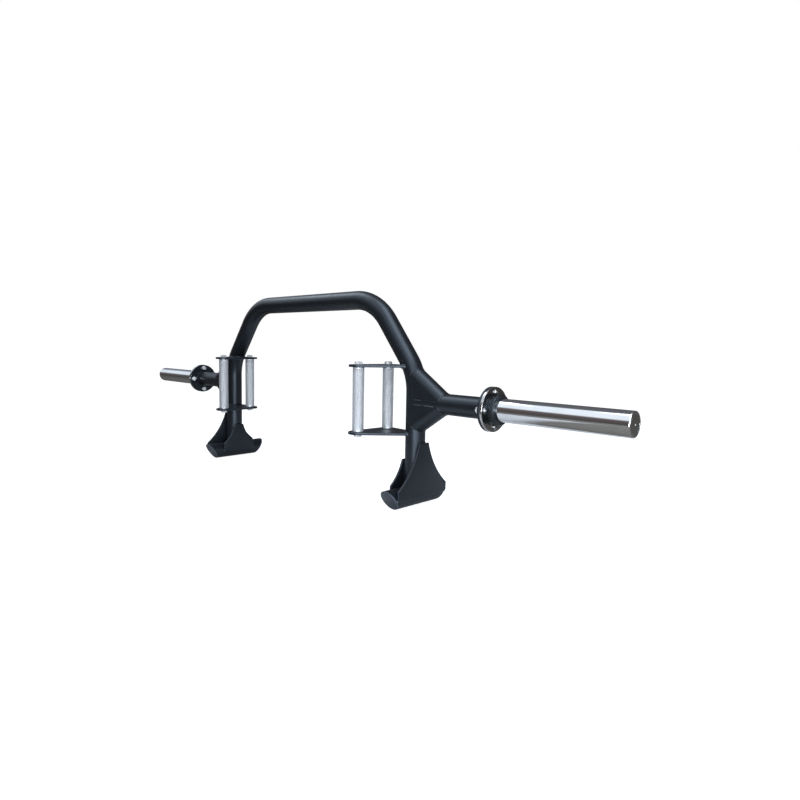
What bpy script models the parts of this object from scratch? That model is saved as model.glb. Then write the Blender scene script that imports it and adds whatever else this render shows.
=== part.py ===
"""Open-ended trap bar: a bent arch on two feet, with loading sleeves and upright hand grips.

The bar runs along X and stands on its feet, with +Z up and -Y towards the open side that a
lifter steps in from. All sizes are in metres. The origin is on the floor, under the middle of
the space that the bar takes up.
"""

import math

import bmesh
import bpy
from mathutils import Matrix, Vector

# Space left between two pieces that touch
GAP = 0.0003

# Frame tube and arch
TUBE_RADIUS = 0.02415
TUBE_WALL = 0.003
LEG_SPACING = 0.826
ARCH_TOP_SPACING = 0.540
ARCH_AXIS_HEIGHT = 0.497
LEG_CORNER_HEIGHT = 0.316
LEG_BEND_RADIUS = 0.120
TOP_BEND_RADIUS = 0.145

# Side arms, which carry the sleeves
SLEEVE_AXIS_HEIGHT = 0.251
ARM_REACH = 0.213
BRACE_RADIUS = 0.0235
BRACE_RISE = 0.059
BRACE_RUN = 0.088
WEB_FACE_OFFSET = 0.0234
WEB_THICKNESS = 0.004

# Bolted flanges
FLANGE_RADIUS = 0.0485
FLANGE_THICKNESS = 0.006
FLANGE_CHAMFER = 0.001
BOLT_CIRCLE_RADIUS = 0.0375
FLANGE_BOLT_COUNT = 4
FLANGE_BOLT_RADIUS = 0.004
FLANGE_BOLT_HEAD_RADIUS = 0.0062
FLANGE_BOLT_HEAD_HEIGHT = 0.0044
FLANGE_BOLT_SOCKET_WIDTH = 0.005
FLANGE_BOLT_SOCKET_DEPTH = 0.0026
FLANGE_NUT_WIDTH = 0.013
FLANGE_NUT_HEIGHT = 0.0068
BOLT_TIP = 0.002

# Loading sleeves
SLEEVE_RADIUS = 0.025
SLEEVE_WALL = 0.0045
SLEEVE_LENGTH = 0.297
SLEEVE_END_CHAMFER = 0.002
PLUG_LENGTH = 0.012
CENTRE_HOLE_RADIUS = 0.002
CENTRE_HOLE_DEPTH = 0.002
RING_RADIUS = 0.0335
RING_LENGTH = 0.017
RING_FILLET = 0.004
RING_BOLT_CLEARANCE = 0.0013

# Hand grips and the brackets that hold them
REAR_HANDLE_INSET = 0.0955
FRONT_HANDLE_INSET = 0.100
HANDLE_SPACING = 0.0955
HANDLE_RADIUS = 0.01375
HANDLE_LENGTH = 0.154
HANDLE_MIDDLE_HEIGHT = 0.2525
HANDLE_CHAMFER = 0.001
BRACKET_THICKNESS = 0.006
BRACKET_LOBE_RADIUS = 0.0235
BRACKET_ROOT_RADIUS = 0.022
HANDLE_BOLT_RADIUS = 0.005
HANDLE_BOLT_DEPTH = 0.020
HANDLE_BOLT_HEAD_WIDTH = 0.017
HANDLE_BOLT_HEAD_HEIGHT = 0.0064

# Feet
FOOT_RADIUS = 0.02415
FOOT_TOP_LENGTH = 0.203
FOOT_BOTTOM_LENGTH = 0.143
FOOT_CAP_THICKNESS = 0.003
CHEEK_THICKNESS = 0.005
CHEEK_CORNER_CUT = 0.005
OUTER_CHEEK_HEIGHT = 0.153
OUTER_CHEEK_SHOULDER = 0.048
OUTER_CHEEK_HALF_LENGTH = 0.085
OUTER_CHEEK_TOP_HALF_WIDTH = 0.0165
OUTER_CHEEK_FLARE_RADIUS = 0.197
INNER_CHEEK_HEIGHT = 0.109
INNER_CHEEK_SHOULDER = 0.049
INNER_CHEEK_HALF_LENGTH = 0.055
INNER_CHEEK_TOP_HALF_WIDTH = 0.0155
INNER_CHEEK_FLARE_RADIUS = 0.118

# How finely round shapes are divided
TUBE_BEVEL_RESOLUTION = 8
TUBE_SIDES = 24
CUTTER_SIDES = 40
FLANGE_STEPS = 40
SLEEVE_STEPS = 36
RING_FILLET_STEPS = 3
GRIP_STEPS = 24
BOLT_STEPS = 12
HEX_SIDES = 6
BEND_STEP = math.radians(9)
OUTLINE_STEP = math.radians(12)
MERGE_DISTANCE = 0.00002

# Places worked out from the sizes above
LEG_X = LEG_SPACING / 2
ARCH_CORNER_X = ARCH_TOP_SPACING / 2
ARM_END_X = LEG_X + ARM_REACH
SLEEVE_FLANGE_X = ARM_END_X + FLANGE_THICKNESS + GAP
SLEEVE_START_X = SLEEVE_FLANGE_X + FLANGE_THICKNESS + GAP
SLEEVE_END_X = SLEEVE_START_X + SLEEVE_LENGTH
RING_SEAT_RADIUS = BOLT_CIRCLE_RADIUS - FLANGE_BOLT_HEAD_RADIUS - RING_BOLT_CLEARANCE
RING_SEAT_LENGTH = FLANGE_BOLT_HEAD_HEIGHT + RING_BOLT_CLEARANCE
REAR_HANDLE = (LEG_X - REAR_HANDLE_INSET, 0.0)
FRONT_HANDLE = (LEG_X - FRONT_HANDLE_INSET, -HANDLE_SPACING)
HANDLE_BOTTOM_Z = HANDLE_MIDDLE_HEIGHT - HANDLE_LENGTH / 2
HANDLE_TOP_Z = HANDLE_MIDDLE_HEIGHT + HANDLE_LENGTH / 2
FOOT_AXIS_Z = FOOT_RADIUS
FRONT_REACH = max(HANDLE_SPACING + BRACKET_LOBE_RADIUS, FOOT_TOP_LENGTH / 2)
BACK_REACH = max(BRACKET_LOBE_RADIUS, FOOT_TOP_LENGTH / 2)
FRAME_Y = (FRONT_REACH - BACK_REACH) / 2

SIDES = (("left", -1), ("right", 1))
HANDLES = (("rear", REAR_HANDLE), ("front", FRONT_HANDLE))

BLACK_COAT = ("black_coat", (0.020, 0.022, 0.027), 0.0, 0.42)
CHROME = ("chrome", (0.78, 0.79, 0.80), 1.0, 0.08)
KNURLED_STEEL = ("knurled_steel", (0.62, 0.63, 0.64), 1.0, 0.35)
ZINC = ("zinc", (0.66, 0.67, 0.68), 1.0, 0.28)
RUBBER = ("rubber", (0.012, 0.012, 0.013), 0.0, 0.55)


def make_collection(name):
    """Add a collection to the scene."""
    collection = bpy.data.collections.new(name)
    bpy.context.scene.collection.children.link(collection)
    return collection


def make_material(node_name, finish):
    """Give one sub-part its own material in one of the finishes above."""
    finish_name, colour, metallic, roughness = finish
    material = bpy.data.materials.new(f"{node_name}_{finish_name}")
    material.use_nodes = True
    shader = material.node_tree.nodes["Principled BSDF"]
    shader.inputs["Base Color"].default_value = (*colour, 1.0)
    shader.inputs["Metallic"].default_value = metallic
    shader.inputs["Roughness"].default_value = roughness
    return material


def place(name, mesh, location=(0, 0, 0), rotation=Matrix()):
    """Put a mesh in the parts collection at a place and in a direction."""
    piece = bpy.data.objects.new(name, mesh)
    piece.matrix_world = Matrix.Translation(location) @ rotation.to_4x4()
    PARTS.objects.link(piece)
    return piece


def as_cutter(piece):
    """Move a piece to the cutters, where it only shapes other pieces."""
    PARTS.objects.unlink(piece)
    CUTTERS.objects.link(piece)
    piece.hide_render = True
    piece.display_type = "WIRE"
    return piece


def finish(piece, look, crease=math.radians(35)):
    """Shade a piece smooth between its creases and give it its own material."""
    piece.data.shade_smooth()
    piece.data.set_sharp_from_angle(angle=crease)
    piece.data.materials.append(make_material(piece.name, look))
    return piece


def combine(piece, operation, *others):
    """Add a Boolean to a piece for each of the other pieces."""
    for other in others:
        boolean = piece.modifiers.new(f"{operation.lower()}_{other.name}", "BOOLEAN")
        boolean.operation = operation
        boolean.solver = "EXACT"
        boolean.object = other
    return piece


def toward(direction):
    """Rotation that turns +Z to a direction."""
    return Vector(direction).to_track_quat("Z", "Y").to_matrix()


def cylinder(name, radius, start, end, sides=TUBE_SIDES, across_flats=False):
    """Round bar between two points; across_flats keeps its flats, not its corners, at the radius."""
    start, end = Vector(start), Vector(end)
    corner_radius = radius / math.cos(math.pi / sides) if across_flats else radius
    shape = bmesh.new()
    bmesh.ops.create_cone(
        shape,
        cap_ends=True,
        segments=sides,
        radius1=corner_radius,
        radius2=corner_radius,
        depth=(end - start).length,
        matrix=Matrix.Rotation(math.pi / sides, 4, "Z"),
    )
    mesh = bpy.data.meshes.new(name)
    shape.to_mesh(mesh)
    shape.free()
    return place(name, mesh, (start + end) / 2, toward(end - start))


def box(name, size, location, rotation=Matrix()):
    """Rectangular block."""
    shape = bmesh.new()
    bmesh.ops.create_cube(shape, size=1.0, matrix=Matrix.Diagonal((*size, 1.0)))
    mesh = bpy.data.meshes.new(name)
    shape.to_mesh(mesh)
    shape.free()
    return place(name, mesh, location, rotation)


def turned(name, profile, steps, location=(0, 0, 0), axis=(0, 0, 1), closed=False):
    """Turn a profile of (radius, height) points, its outer side from top to bottom."""
    mesh = bpy.data.meshes.new(name)
    corners = [(radius, 0.0, height) for radius, height in profile]
    edges = [(index, index + 1) for index in range(len(corners) - 1)]
    if closed:
        edges.append((len(corners) - 1, 0))
    mesh.from_pydata(corners, edges, [])
    piece = place(name, mesh, location, toward(axis))
    screw = piece.modifiers.new("turn", "SCREW")
    screw.axis = "Z"
    screw.steps = steps
    screw.render_steps = steps
    screw.use_merge_vertices = True
    screw.merge_threshold = MERGE_DISTANCE
    screw.use_smooth_shade = False
    return piece


def curve_to_mesh(curve):
    """Turn a curve object into a closed mesh object of the same name and place."""
    name = curve.name
    bpy.context.view_layer.update()
    evaluated = curve.evaluated_get(bpy.context.evaluated_depsgraph_get())
    mesh = bpy.data.meshes.new_from_object(evaluated)
    shape = bmesh.new()
    shape.from_mesh(mesh)
    bmesh.ops.remove_doubles(shape, verts=shape.verts, dist=MERGE_DISTANCE)
    bmesh.ops.recalc_face_normals(shape, faces=shape.faces)
    shape.to_mesh(mesh)
    shape.free()
    matrix = curve.matrix_world.copy()
    bpy.data.objects.remove(curve)
    piece = place(name, mesh)
    piece.matrix_world = matrix
    return piece


def bent_tube(name, points, radius):
    """Solid bar of a round section along a path."""
    curve = bpy.data.curves.new(name, "CURVE")
    curve.dimensions = "3D"
    curve.twist_mode = "MINIMUM"
    curve.bevel_depth = radius
    curve.bevel_resolution = TUBE_BEVEL_RESOLUTION
    curve.use_fill_caps = True
    spline = curve.splines.new("POLY")
    spline.points.add(len(points) - 1)
    for knot, point in zip(spline.points, points):
        knot.co = (*point, 1.0)
    path = bpy.data.objects.new(name, curve)
    PARTS.objects.link(path)
    return curve_to_mesh(path)


def flat_plate(name, outline, thickness, location, rotation=Matrix()):
    """Plate of an outline drawn in X and Y, its thickness half to each side of the location."""
    curve = bpy.data.curves.new(name, "CURVE")
    curve.dimensions = "2D"
    curve.fill_mode = "BOTH"
    curve.extrude = thickness / 2
    spline = curve.splines.new("POLY")
    spline.points.add(len(outline) - 1)
    for knot, (x, y) in zip(spline.points, outline):
        knot.co = (x, y, 0.0, 1.0)
    spline.use_cyclic_u = True
    drawing = bpy.data.objects.new(name, curve)
    drawing.matrix_world = Matrix.Translation(location) @ rotation.to_4x4()
    PARTS.objects.link(drawing)
    return curve_to_mesh(drawing)


def arc(centre, radius, start, end, step):
    """Points of an arc in two dimensions, from one angle to another."""
    count = max(2, math.ceil(abs(end - start) / step) + 1)
    angles = [start + (end - start) * index / (count - 1) for index in range(count)]
    return [(centre[0] + radius * math.cos(a), centre[1] + radius * math.sin(a)) for a in angles]


def rounded_corner(before, corner, after, radius):
    """Arc that rounds the corner of a path drawn in two dimensions."""
    corner = Vector(corner)
    into = (corner - Vector(before)).normalized()
    out = (Vector(after) - corner).normalized()
    turn = into.angle_signed(out)
    side = 1 if turn < 0 else -1
    reach = radius * math.tan(abs(turn) / 2)
    normal = Vector((-into.y, into.x)) * side
    centre = corner - into * reach + normal * radius
    start = math.atan2(-normal.y, -normal.x)
    return arc(centre, radius, start, start - turn, BEND_STEP)


def hull_of_circles(circles):
    """Outline that wraps round circles given anticlockwise as (centre, radius)."""
    outline = []
    count = len(circles)
    tangents = []
    for index in range(count):
        (start, start_radius), (end, end_radius) = circles[index], circles[(index + 1) % count]
        along = Vector(end) - Vector(start)
        lean = math.asin((start_radius - end_radius) / along.length)
        tangents.append(math.atan2(along.y, along.x) - math.pi / 2 + lean)
    for index, (centre, radius) in enumerate(circles):
        start, end = tangents[index - 1], tangents[index]
        while end < start:
            end += math.tau
        outline += arc(centre, radius, start, end, OUTLINE_STEP)
    return outline


def arch_path(bottom):
    """Axis of the arch in X and Z, from a height on the left leg over to the right leg."""
    foot, knee = (LEG_X, bottom), (LEG_X, LEG_CORNER_HEIGHT)
    shoulder = (ARCH_CORNER_X, ARCH_AXIS_HEIGHT)
    over = (-ARCH_CORNER_X, ARCH_AXIS_HEIGHT)
    half = [foot]
    half += rounded_corner(foot, knee, shoulder, LEG_BEND_RADIUS)
    half += rounded_corner(knee, shoulder, over, TOP_BEND_RADIUS)
    other_half = [(-x, z) for x, z in reversed(half)]
    return [(x, 0.0, z) for x, z in half + other_half]


def arch_axis_x(height):
    """Distance of the leg's axis from the middle of the bar at a height."""
    points = [(x, z) for x, _, z in arch_path(0.0) if x > 0]
    for (x, z), (next_x, next_z) in zip(points, points[1:]):
        if z <= height <= next_z:
            return x + (next_x - x) * (height - z) / (next_z - z)
    return LEG_X


def make_arch():
    """Bent tube of the arch, hollow, its ends coped to the foot bars."""
    arch = bent_tube("arch_tube", arch_path(FOOT_AXIS_Z), TUBE_RADIUS)
    bore_radius = TUBE_RADIUS - TUBE_WALL
    bore = as_cutter(bent_tube("arch_bore", arch_path(0.0), bore_radius))
    combine(arch, "DIFFERENCE", bore)
    for side, sign in SIDES:
        combine(arch, "DIFFERENCE", foot_clearance(side, sign))
    return finish(arch, BLACK_COAT)


def foot_clearance(side, sign):
    """Cutter that leaves the space of one foot bar."""
    reach = FOOT_TOP_LENGTH
    ends = [(sign * LEG_X, y, FOOT_AXIS_Z) for y in (-reach, reach)]
    return as_cutter(cylinder(f"foot_clearance_{side}", FOOT_RADIUS + GAP, *ends, across_flats=True))


def brace_ends(sign, up):
    """Ends of a brace's axis: at the leg and at the arm."""
    at_leg = Vector((sign * LEG_X, 0, SLEEVE_AXIS_HEIGHT + up * BRACE_RISE))
    at_arm = Vector((sign * (LEG_X + BRACE_RUN), 0, SLEEVE_AXIS_HEIGHT))
    return at_leg, at_arm


def make_arm(side, sign, arch_space):
    """Level tube from the leg out to the flange, with its two braces and four web plates."""
    axis_end = sign * (ARM_END_X - GAP)
    leg_axis = sign * LEG_X
    bore_radius = TUBE_RADIUS - TUBE_WALL
    level = SLEEVE_AXIS_HEIGHT
    arm = cylinder(f"arm_tube_{side}", TUBE_RADIUS, (leg_axis, 0, level), (axis_end, 0, level))
    bore_end = sign * (ARM_END_X + TUBE_RADIUS)
    bore = cylinder(f"arm_bore_{side}", bore_radius, (0, 0, level), (bore_end, 0, level))
    finish(combine(arm, "DIFFERENCE", as_cutter(bore), arch_space), BLACK_COAT)

    space = cylinder(
        f"arm_clearance_{side}",
        TUBE_RADIUS + GAP,
        (0, 0, level),
        (bore_end, 0, level),
        sides=CUTTER_SIDES,
        across_flats=True,
    )
    arm_space = as_cutter(space)
    for tier, up in (("lower", -1), ("upper", 1)):
        brace_space = make_brace(f"{tier}_brace_{side}", sign, up, arch_space, arm_space)
        for face, toward_back in (("front", -1), ("back", 1)):
            name = f"{tier}_{face}_web_{side}"
            make_web(name, sign, up, toward_back, (arch_space, arm_space, brace_space))


def make_brace(name, sign, up, arch_space, arm_space):
    """Slanted tube in the angle of leg and arm; gives back the cutter that leaves its space."""
    at_leg, at_arm = brace_ends(sign, up)
    slope = (at_arm - at_leg).normalized()
    seat = at_leg - slope * (TUBE_RADIUS - BRACE_RADIUS) * 4
    brace = cylinder(name, BRACE_RADIUS, seat, at_arm)
    bore_start, bore_end = at_leg - slope * LEG_X, at_arm + slope * LEG_X
    bore = as_cutter(cylinder(f"{name}_bore", BRACE_RADIUS - TUBE_WALL, bore_start, bore_end))
    finish(combine(brace, "DIFFERENCE", bore, arch_space, arm_space), BLACK_COAT)
    space = cylinder(
        f"{name}_clearance",
        BRACE_RADIUS + GAP,
        seat - slope * TUBE_RADIUS,
        at_arm + slope * TUBE_RADIUS,
        sides=CUTTER_SIDES,
        across_flats=True,
    )
    return as_cutter(space)


def make_web(name, sign, up, toward_back, spaces):
    """Thin plate that closes the angle between leg, arm and brace on one face of the frame."""
    at_leg, at_arm = brace_ends(sign, up)
    corner = (sign * LEG_X, SLEEVE_AXIS_HEIGHT)
    outline = [corner, (at_arm.x, at_arm.z), (at_leg.x, at_leg.z)]
    middle = toward_back * (WEB_FACE_OFFSET - WEB_THICKNESS / 2)
    upright = Matrix.Rotation(math.pi / 2, 3, "X")
    web = flat_plate(name, outline, WEB_THICKNESS, (0, middle, 0), upright)
    finish(combine(web, "DIFFERENCE", *spaces), BLACK_COAT)


def disc_profile(radius, thickness, chamfer):
    """Profile of a solid disc with chamfered rims, its back face at height zero."""
    return [
        (0.0, thickness),
        (radius - chamfer, thickness),
        (radius, thickness - chamfer),
        (radius, chamfer),
        (radius - chamfer, 0.0),
        (0.0, 0.0),
    ]


def bolt_places():
    """Offsets in Y and Z of the flange bolts from the sleeve's axis."""
    angles = [math.tau * index / FLANGE_BOLT_COUNT for index in range(FLANGE_BOLT_COUNT)]
    return [(BOLT_CIRCLE_RADIUS * math.cos(a), BOLT_CIRCLE_RADIUS * math.sin(a)) for a in angles]


def make_flanges(side, sign):
    """The frame's flange and the sleeve's flange, face to face, with bolt holes through both."""
    outward = (sign, 0, 0)
    holes = []
    hole_start, hole_end = ARM_END_X - FLANGE_THICKNESS, SLEEVE_START_X + FLANGE_THICKNESS
    for index, (y, z) in enumerate(bolt_places(), start=1):
        ends = [(sign * x, y, SLEEVE_AXIS_HEIGHT + z) for x in (hole_start, hole_end)]
        hole_radius = FLANGE_BOLT_RADIUS + GAP
        hole = cylinder(f"bolt_hole_{side}_{index}", hole_radius, *ends, BOLT_STEPS, across_flats=True)
        holes.append(as_cutter(hole))
    profile = disc_profile(FLANGE_RADIUS, FLANGE_THICKNESS, FLANGE_CHAMFER)
    for owner, x, look in (("frame", ARM_END_X, BLACK_COAT), ("sleeve", SLEEVE_FLANGE_X, CHROME)):
        centre = (sign * x, 0, SLEEVE_AXIS_HEIGHT)
        flange = turned(f"{owner}_flange_{side}", profile, FLANGE_STEPS, centre, outward)
        finish(combine(flange, "DIFFERENCE", *holes), look)


def make_flange_bolts(side, sign):
    """Button-head bolts through the flanges, each with its nut on the frame side."""
    grip = SLEEVE_START_X - ARM_END_X + GAP
    radius, head, height = FLANGE_BOLT_RADIUS, FLANGE_BOLT_HEAD_RADIUS, FLANGE_BOLT_HEAD_HEIGHT
    tip = -grip - FLANGE_NUT_HEIGHT - BOLT_TIP
    dome = [(head * math.cos(a), height * math.sin(a)) for a in (1.35, 1.05, 0.75, 0.4, 0.0)]
    profile = [(0.0, height), *dome, (radius, 0.0), (radius, tip), (0.0, tip)]
    for index, (y, z) in enumerate(bolt_places(), start=1):
        name = f"flange_bolt_{side}_{index}"
        seat = Vector((sign * SLEEVE_START_X, y, SLEEVE_AXIS_HEIGHT + z))
        outward = Vector((sign, 0, 0))
        bolt = turned(name, profile, BOLT_STEPS, seat, outward)
        nut_ends = [seat - outward * distance for distance in (grip, grip + FLANGE_NUT_HEIGHT)]
        nut = cylinder(f"{name}_nut", FLANGE_NUT_WIDTH / 2, *nut_ends, HEX_SIDES, across_flats=True)
        socket_ends = [
            seat + outward * (height - FLANGE_BOLT_SOCKET_DEPTH),
            seat + outward * (height + FLANGE_BOLT_SOCKET_DEPTH),
        ]
        socket = cylinder(
            f"{name}_socket",
            FLANGE_BOLT_SOCKET_WIDTH / 2,
            *socket_ends,
            HEX_SIDES,
            across_flats=True,
        )
        combine(bolt, "UNION", as_cutter(nut))
        finish(combine(bolt, "DIFFERENCE", as_cutter(socket)), ZINC)


def make_sleeve(side, sign):
    """Chromed sleeve tube with its end plug, and the rubber ring that plates rest against."""
    outward = (sign, 0, 0)
    start = (sign * SLEEVE_START_X, 0, SLEEVE_AXIS_HEIGHT)
    bore = SLEEVE_RADIUS - SLEEVE_WALL
    tube_profile = [
        (bore, SLEEVE_LENGTH),
        (SLEEVE_RADIUS - SLEEVE_END_CHAMFER, SLEEVE_LENGTH),
        (SLEEVE_RADIUS, SLEEVE_LENGTH - SLEEVE_END_CHAMFER),
        (SLEEVE_RADIUS, 0.0),
        (bore, 0.0),
    ]
    sleeve = turned(f"sleeve_{side}", tube_profile, SLEEVE_STEPS, start, outward, closed=True)
    finish(sleeve, CHROME)

    plug_radius = bore * math.cos(math.pi / SLEEVE_STEPS) - GAP
    plug_profile = [
        (0.0, SLEEVE_LENGTH - CENTRE_HOLE_DEPTH),
        (CENTRE_HOLE_RADIUS, SLEEVE_LENGTH),
        (plug_radius, SLEEVE_LENGTH),
        (plug_radius, SLEEVE_LENGTH - PLUG_LENGTH),
        (0.0, SLEEVE_LENGTH - PLUG_LENGTH),
    ]
    finish(turned(f"sleeve_plug_{side}", plug_profile, SLEEVE_STEPS, start, outward), CHROME)

    ring_bore = (SLEEVE_RADIUS + GAP) / math.cos(math.pi / SLEEVE_STEPS)
    corner = (RING_RADIUS - RING_FILLET, RING_LENGTH - RING_FILLET)
    step = math.pi / 2 / RING_FILLET_STEPS
    ring_profile = [
        (ring_bore, RING_LENGTH),
        *arc(corner, RING_FILLET, math.pi / 2, 0.0, step),
        (RING_RADIUS, RING_SEAT_LENGTH + RING_RADIUS - RING_SEAT_RADIUS),
        (RING_SEAT_RADIUS, RING_SEAT_LENGTH),
        (RING_SEAT_RADIUS, GAP),
        (ring_bore, GAP),
    ]
    ring = turned(f"plate_stop_{side}", ring_profile, SLEEVE_STEPS, start, outward, closed=True)
    finish(ring, RUBBER)


def make_brackets(side, sign, arch_space):
    """Plates above and below the hand grips, their roots notched round the leg."""
    half = BRACKET_THICKNESS / 2
    tiers = (("bottom", HANDLE_BOTTOM_Z - GAP - half), ("top", HANDLE_TOP_Z + GAP + half))
    holes = []
    for grip, (x, y) in HANDLES:
        low, high = tiers[0][1] - BRACKET_THICKNESS, tiers[1][1] + BRACKET_THICKNESS
        ends = [(sign * x, y, z) for z in (low, high)]
        hole_radius = HANDLE_BOLT_RADIUS + GAP
        hole = cylinder(f"grip_hole_{side}_{grip}", hole_radius, *ends, BOLT_STEPS, across_flats=True)
        holes.append(as_cutter(hole))
    for tier, height in tiers:
        lobes = [(centre, BRACKET_LOBE_RADIUS) for _, centre in HANDLES]
        root = ((arch_axis_x(height), 0.0), BRACKET_ROOT_RADIUS)
        outline = [(sign * x, y) for x, y in hull_of_circles([lobes[0], lobes[1], root])]
        plate = flat_plate(f"{tier}_bracket_{side}", outline, BRACKET_THICKNESS, (0, 0, height))
        finish(combine(plate, "DIFFERENCE", arch_space, *holes), BLACK_COAT)


def make_handles(side, sign):
    """Hand grips with a threaded hole in each end."""
    hole = (HANDLE_BOLT_RADIUS + GAP) / math.cos(math.pi / GRIP_STEPS)
    depth = HANDLE_BOLT_DEPTH + GAP
    profile = [
        (0.0, HANDLE_LENGTH - depth),
        (hole, HANDLE_LENGTH - depth),
        (hole, HANDLE_LENGTH),
        (HANDLE_RADIUS - HANDLE_CHAMFER, HANDLE_LENGTH),
        (HANDLE_RADIUS, HANDLE_LENGTH - HANDLE_CHAMFER),
        (HANDLE_RADIUS, HANDLE_CHAMFER),
        (HANDLE_RADIUS - HANDLE_CHAMFER, 0.0),
        (hole, 0.0),
        (hole, depth),
        (0.0, depth),
    ]
    for grip, (x, y) in HANDLES:
        base = (sign * x, y, HANDLE_BOTTOM_Z)
        handle = turned(f"{grip}_handle_{side}", profile, GRIP_STEPS, base)
        finish(handle, KNURLED_STEEL)


def make_handle_bolts(side, sign):
    """Hexagon-head bolts that hold each grip between its two bracket plates."""
    stack = BRACKET_THICKNESS + GAP
    for grip, (x, y) in HANDLES:
        for end, base_z, outward in (("bottom", HANDLE_BOTTOM_Z, -1), ("top", HANDLE_TOP_Z, 1)):
            name = f"{grip}_{end}_bolt_{side}"
            under_head = base_z + outward * (stack + GAP)
            over_head = under_head + outward * HANDLE_BOLT_HEAD_HEIGHT
            tip = base_z - outward * HANDLE_BOLT_DEPTH
            place_at = (sign * x, y)
            head_ends = [(*place_at, z) for z in (under_head, over_head)]
            width = HANDLE_BOLT_HEAD_WIDTH / 2
            bolt = cylinder(name, width, *head_ends, HEX_SIDES, across_flats=True)
            shank_ends = [(*place_at, z) for z in (tip, under_head + outward * GAP)]
            shank = cylinder(f"{name}_shank", HANDLE_BOLT_RADIUS, *shank_ends, BOLT_STEPS)
            finish(combine(bolt, "UNION", as_cutter(shank)), ZINC)


def make_foot(side, sign):
    """Foot bar with slanted, capped ends, and the two cheek plates that tie it to the leg."""
    x = sign * LEG_X
    reach = FOOT_TOP_LENGTH
    ends = [(x, y, FOOT_AXIS_Z) for y in (-reach, reach)]
    bar = cylinder(f"foot_bar_{side}", FOOT_RADIUS, *ends, across_flats=True)
    bore = as_cutter(cylinder(f"foot_bore_{side}", FOOT_RADIUS - TUBE_WALL, *ends))
    whole = as_cutter(cylinder(f"foot_shape_{side}", FOOT_RADIUS, *ends, across_flats=True))
    combine(bar, "DIFFERENCE", bore)
    lean = math.atan2((FOOT_TOP_LENGTH - FOOT_BOTTOM_LENGTH) / 2, 2 * FOOT_RADIUS)
    middle = (FOOT_TOP_LENGTH + FOOT_BOTTOM_LENGTH) / 4
    for end, outward in (("front", -1), ("rear", 1)):
        normal = Vector((0, outward * math.cos(lean), -math.sin(lean)))
        face = Vector((x, outward * middle, FOOT_AXIS_Z))
        tilt = toward(normal)
        cap_size = (4 * FOOT_RADIUS, 6 * FOOT_RADIUS, FOOT_CAP_THICKNESS)
        cap_centre = face - normal * FOOT_CAP_THICKNESS / 2
        cap = box(f"foot_cap_{end}_{side}", cap_size, cap_centre, tilt)
        finish(combine(cap, "INTERSECT", whole), BLACK_COAT)
        trim_size = (4 * FOOT_RADIUS, 3 * reach, 2 * reach)
        trim_centre = face + normal * (reach - FOOT_CAP_THICKNESS - GAP)
        trim = box(f"foot_trim_{end}_{side}", trim_size, trim_centre, tilt)
        combine(bar, "DIFFERENCE", as_cutter(trim))
    finish(bar, BLACK_COAT)

    outer = cheek_outline(
        OUTER_CHEEK_HEIGHT,
        OUTER_CHEEK_SHOULDER,
        OUTER_CHEEK_HALF_LENGTH,
        OUTER_CHEEK_TOP_HALF_WIDTH,
        OUTER_CHEEK_FLARE_RADIUS,
    )
    inner = cheek_outline(
        INNER_CHEEK_HEIGHT,
        INNER_CHEEK_SHOULDER,
        INNER_CHEEK_HALF_LENGTH,
        INNER_CHEEK_TOP_HALF_WIDTH,
        INNER_CHEEK_FLARE_RADIUS,
    )
    offset = max(TUBE_RADIUS, FOOT_RADIUS) + GAP + CHEEK_THICKNESS / 2
    upright = Matrix(((0, 0, 1), (1, 0, 0), (0, 1, 0)))
    for name, outline, away in (("outer", outer, 1), ("inner", inner, -1)):
        place_at = (sign * (LEG_X + away * offset), 0, 0)
        cheek = flat_plate(f"{name}_cheek_{side}", outline, CHEEK_THICKNESS, place_at, upright)
        finish(cheek, BLACK_COAT)


def cheek_outline(height, shoulder, half_length, top_half_width, flare_radius):
    """Outline of a cheek plate, narrow at the leg and flared along the foot bar."""
    top, low = Vector((top_half_width, height)), Vector((half_length, shoulder))
    chord = low - top
    to_middle = math.sqrt(flare_radius**2 - (chord.length / 2) ** 2)
    outside = Vector((-chord.y, chord.x)).normalized()
    centre = (top + low) / 2 + outside * to_middle
    start = math.atan2(top.y - centre.y, top.x - centre.x) % math.tau
    end = math.atan2(low.y - centre.y, low.x - centre.x) % math.tau
    right = [
        *arc(centre, flare_radius, start, end, OUTLINE_STEP / 2),
        (half_length, FOOT_AXIS_Z + CHEEK_CORNER_CUT),
        (half_length - CHEEK_CORNER_CUT, FOOT_AXIS_Z),
    ]
    left = [(-y, z) for y, z in reversed(right)]
    return right + left


def main():
    """Build the whole bar under one empty that centres it over the origin."""
    make_arch()
    arch_space = as_cutter(bent_tube("arch_clearance", arch_path(FOOT_AXIS_Z), TUBE_RADIUS + 2 * GAP))
    for side, sign in SIDES:
        make_arm(side, sign, arch_space)
        make_flanges(side, sign)
        make_flange_bolts(side, sign)
        make_sleeve(side, sign)
        make_brackets(side, sign, arch_space)
        make_handles(side, sign)
        make_handle_bolts(side, sign)
        make_foot(side, sign)
    centre = bpy.data.objects.new("bar_centre", None)
    PARTS.objects.link(centre)
    centre.location = (0, FRAME_Y, 0)
    for piece in [*PARTS.objects, *CUTTERS.objects]:
        if piece is not centre:
            piece.parent = centre


for existing in list(bpy.data.objects):
    bpy.data.objects.remove(existing)
PARTS = make_collection("open_trap_bar")
CUTTERS = make_collection("cutters")
main()
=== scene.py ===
"""Open-ended trap bar in its working finish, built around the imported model.

The bar runs along X and stands on its feet, with +Z up and -Y towards the open side. All sizes
are in metres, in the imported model's own frame, and each piece stands where its solid is.
"""

import logging
import math
from collections.abc import Callable, Iterable, Mapping, Sequence
from dataclasses import dataclass
from enum import Enum

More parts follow.
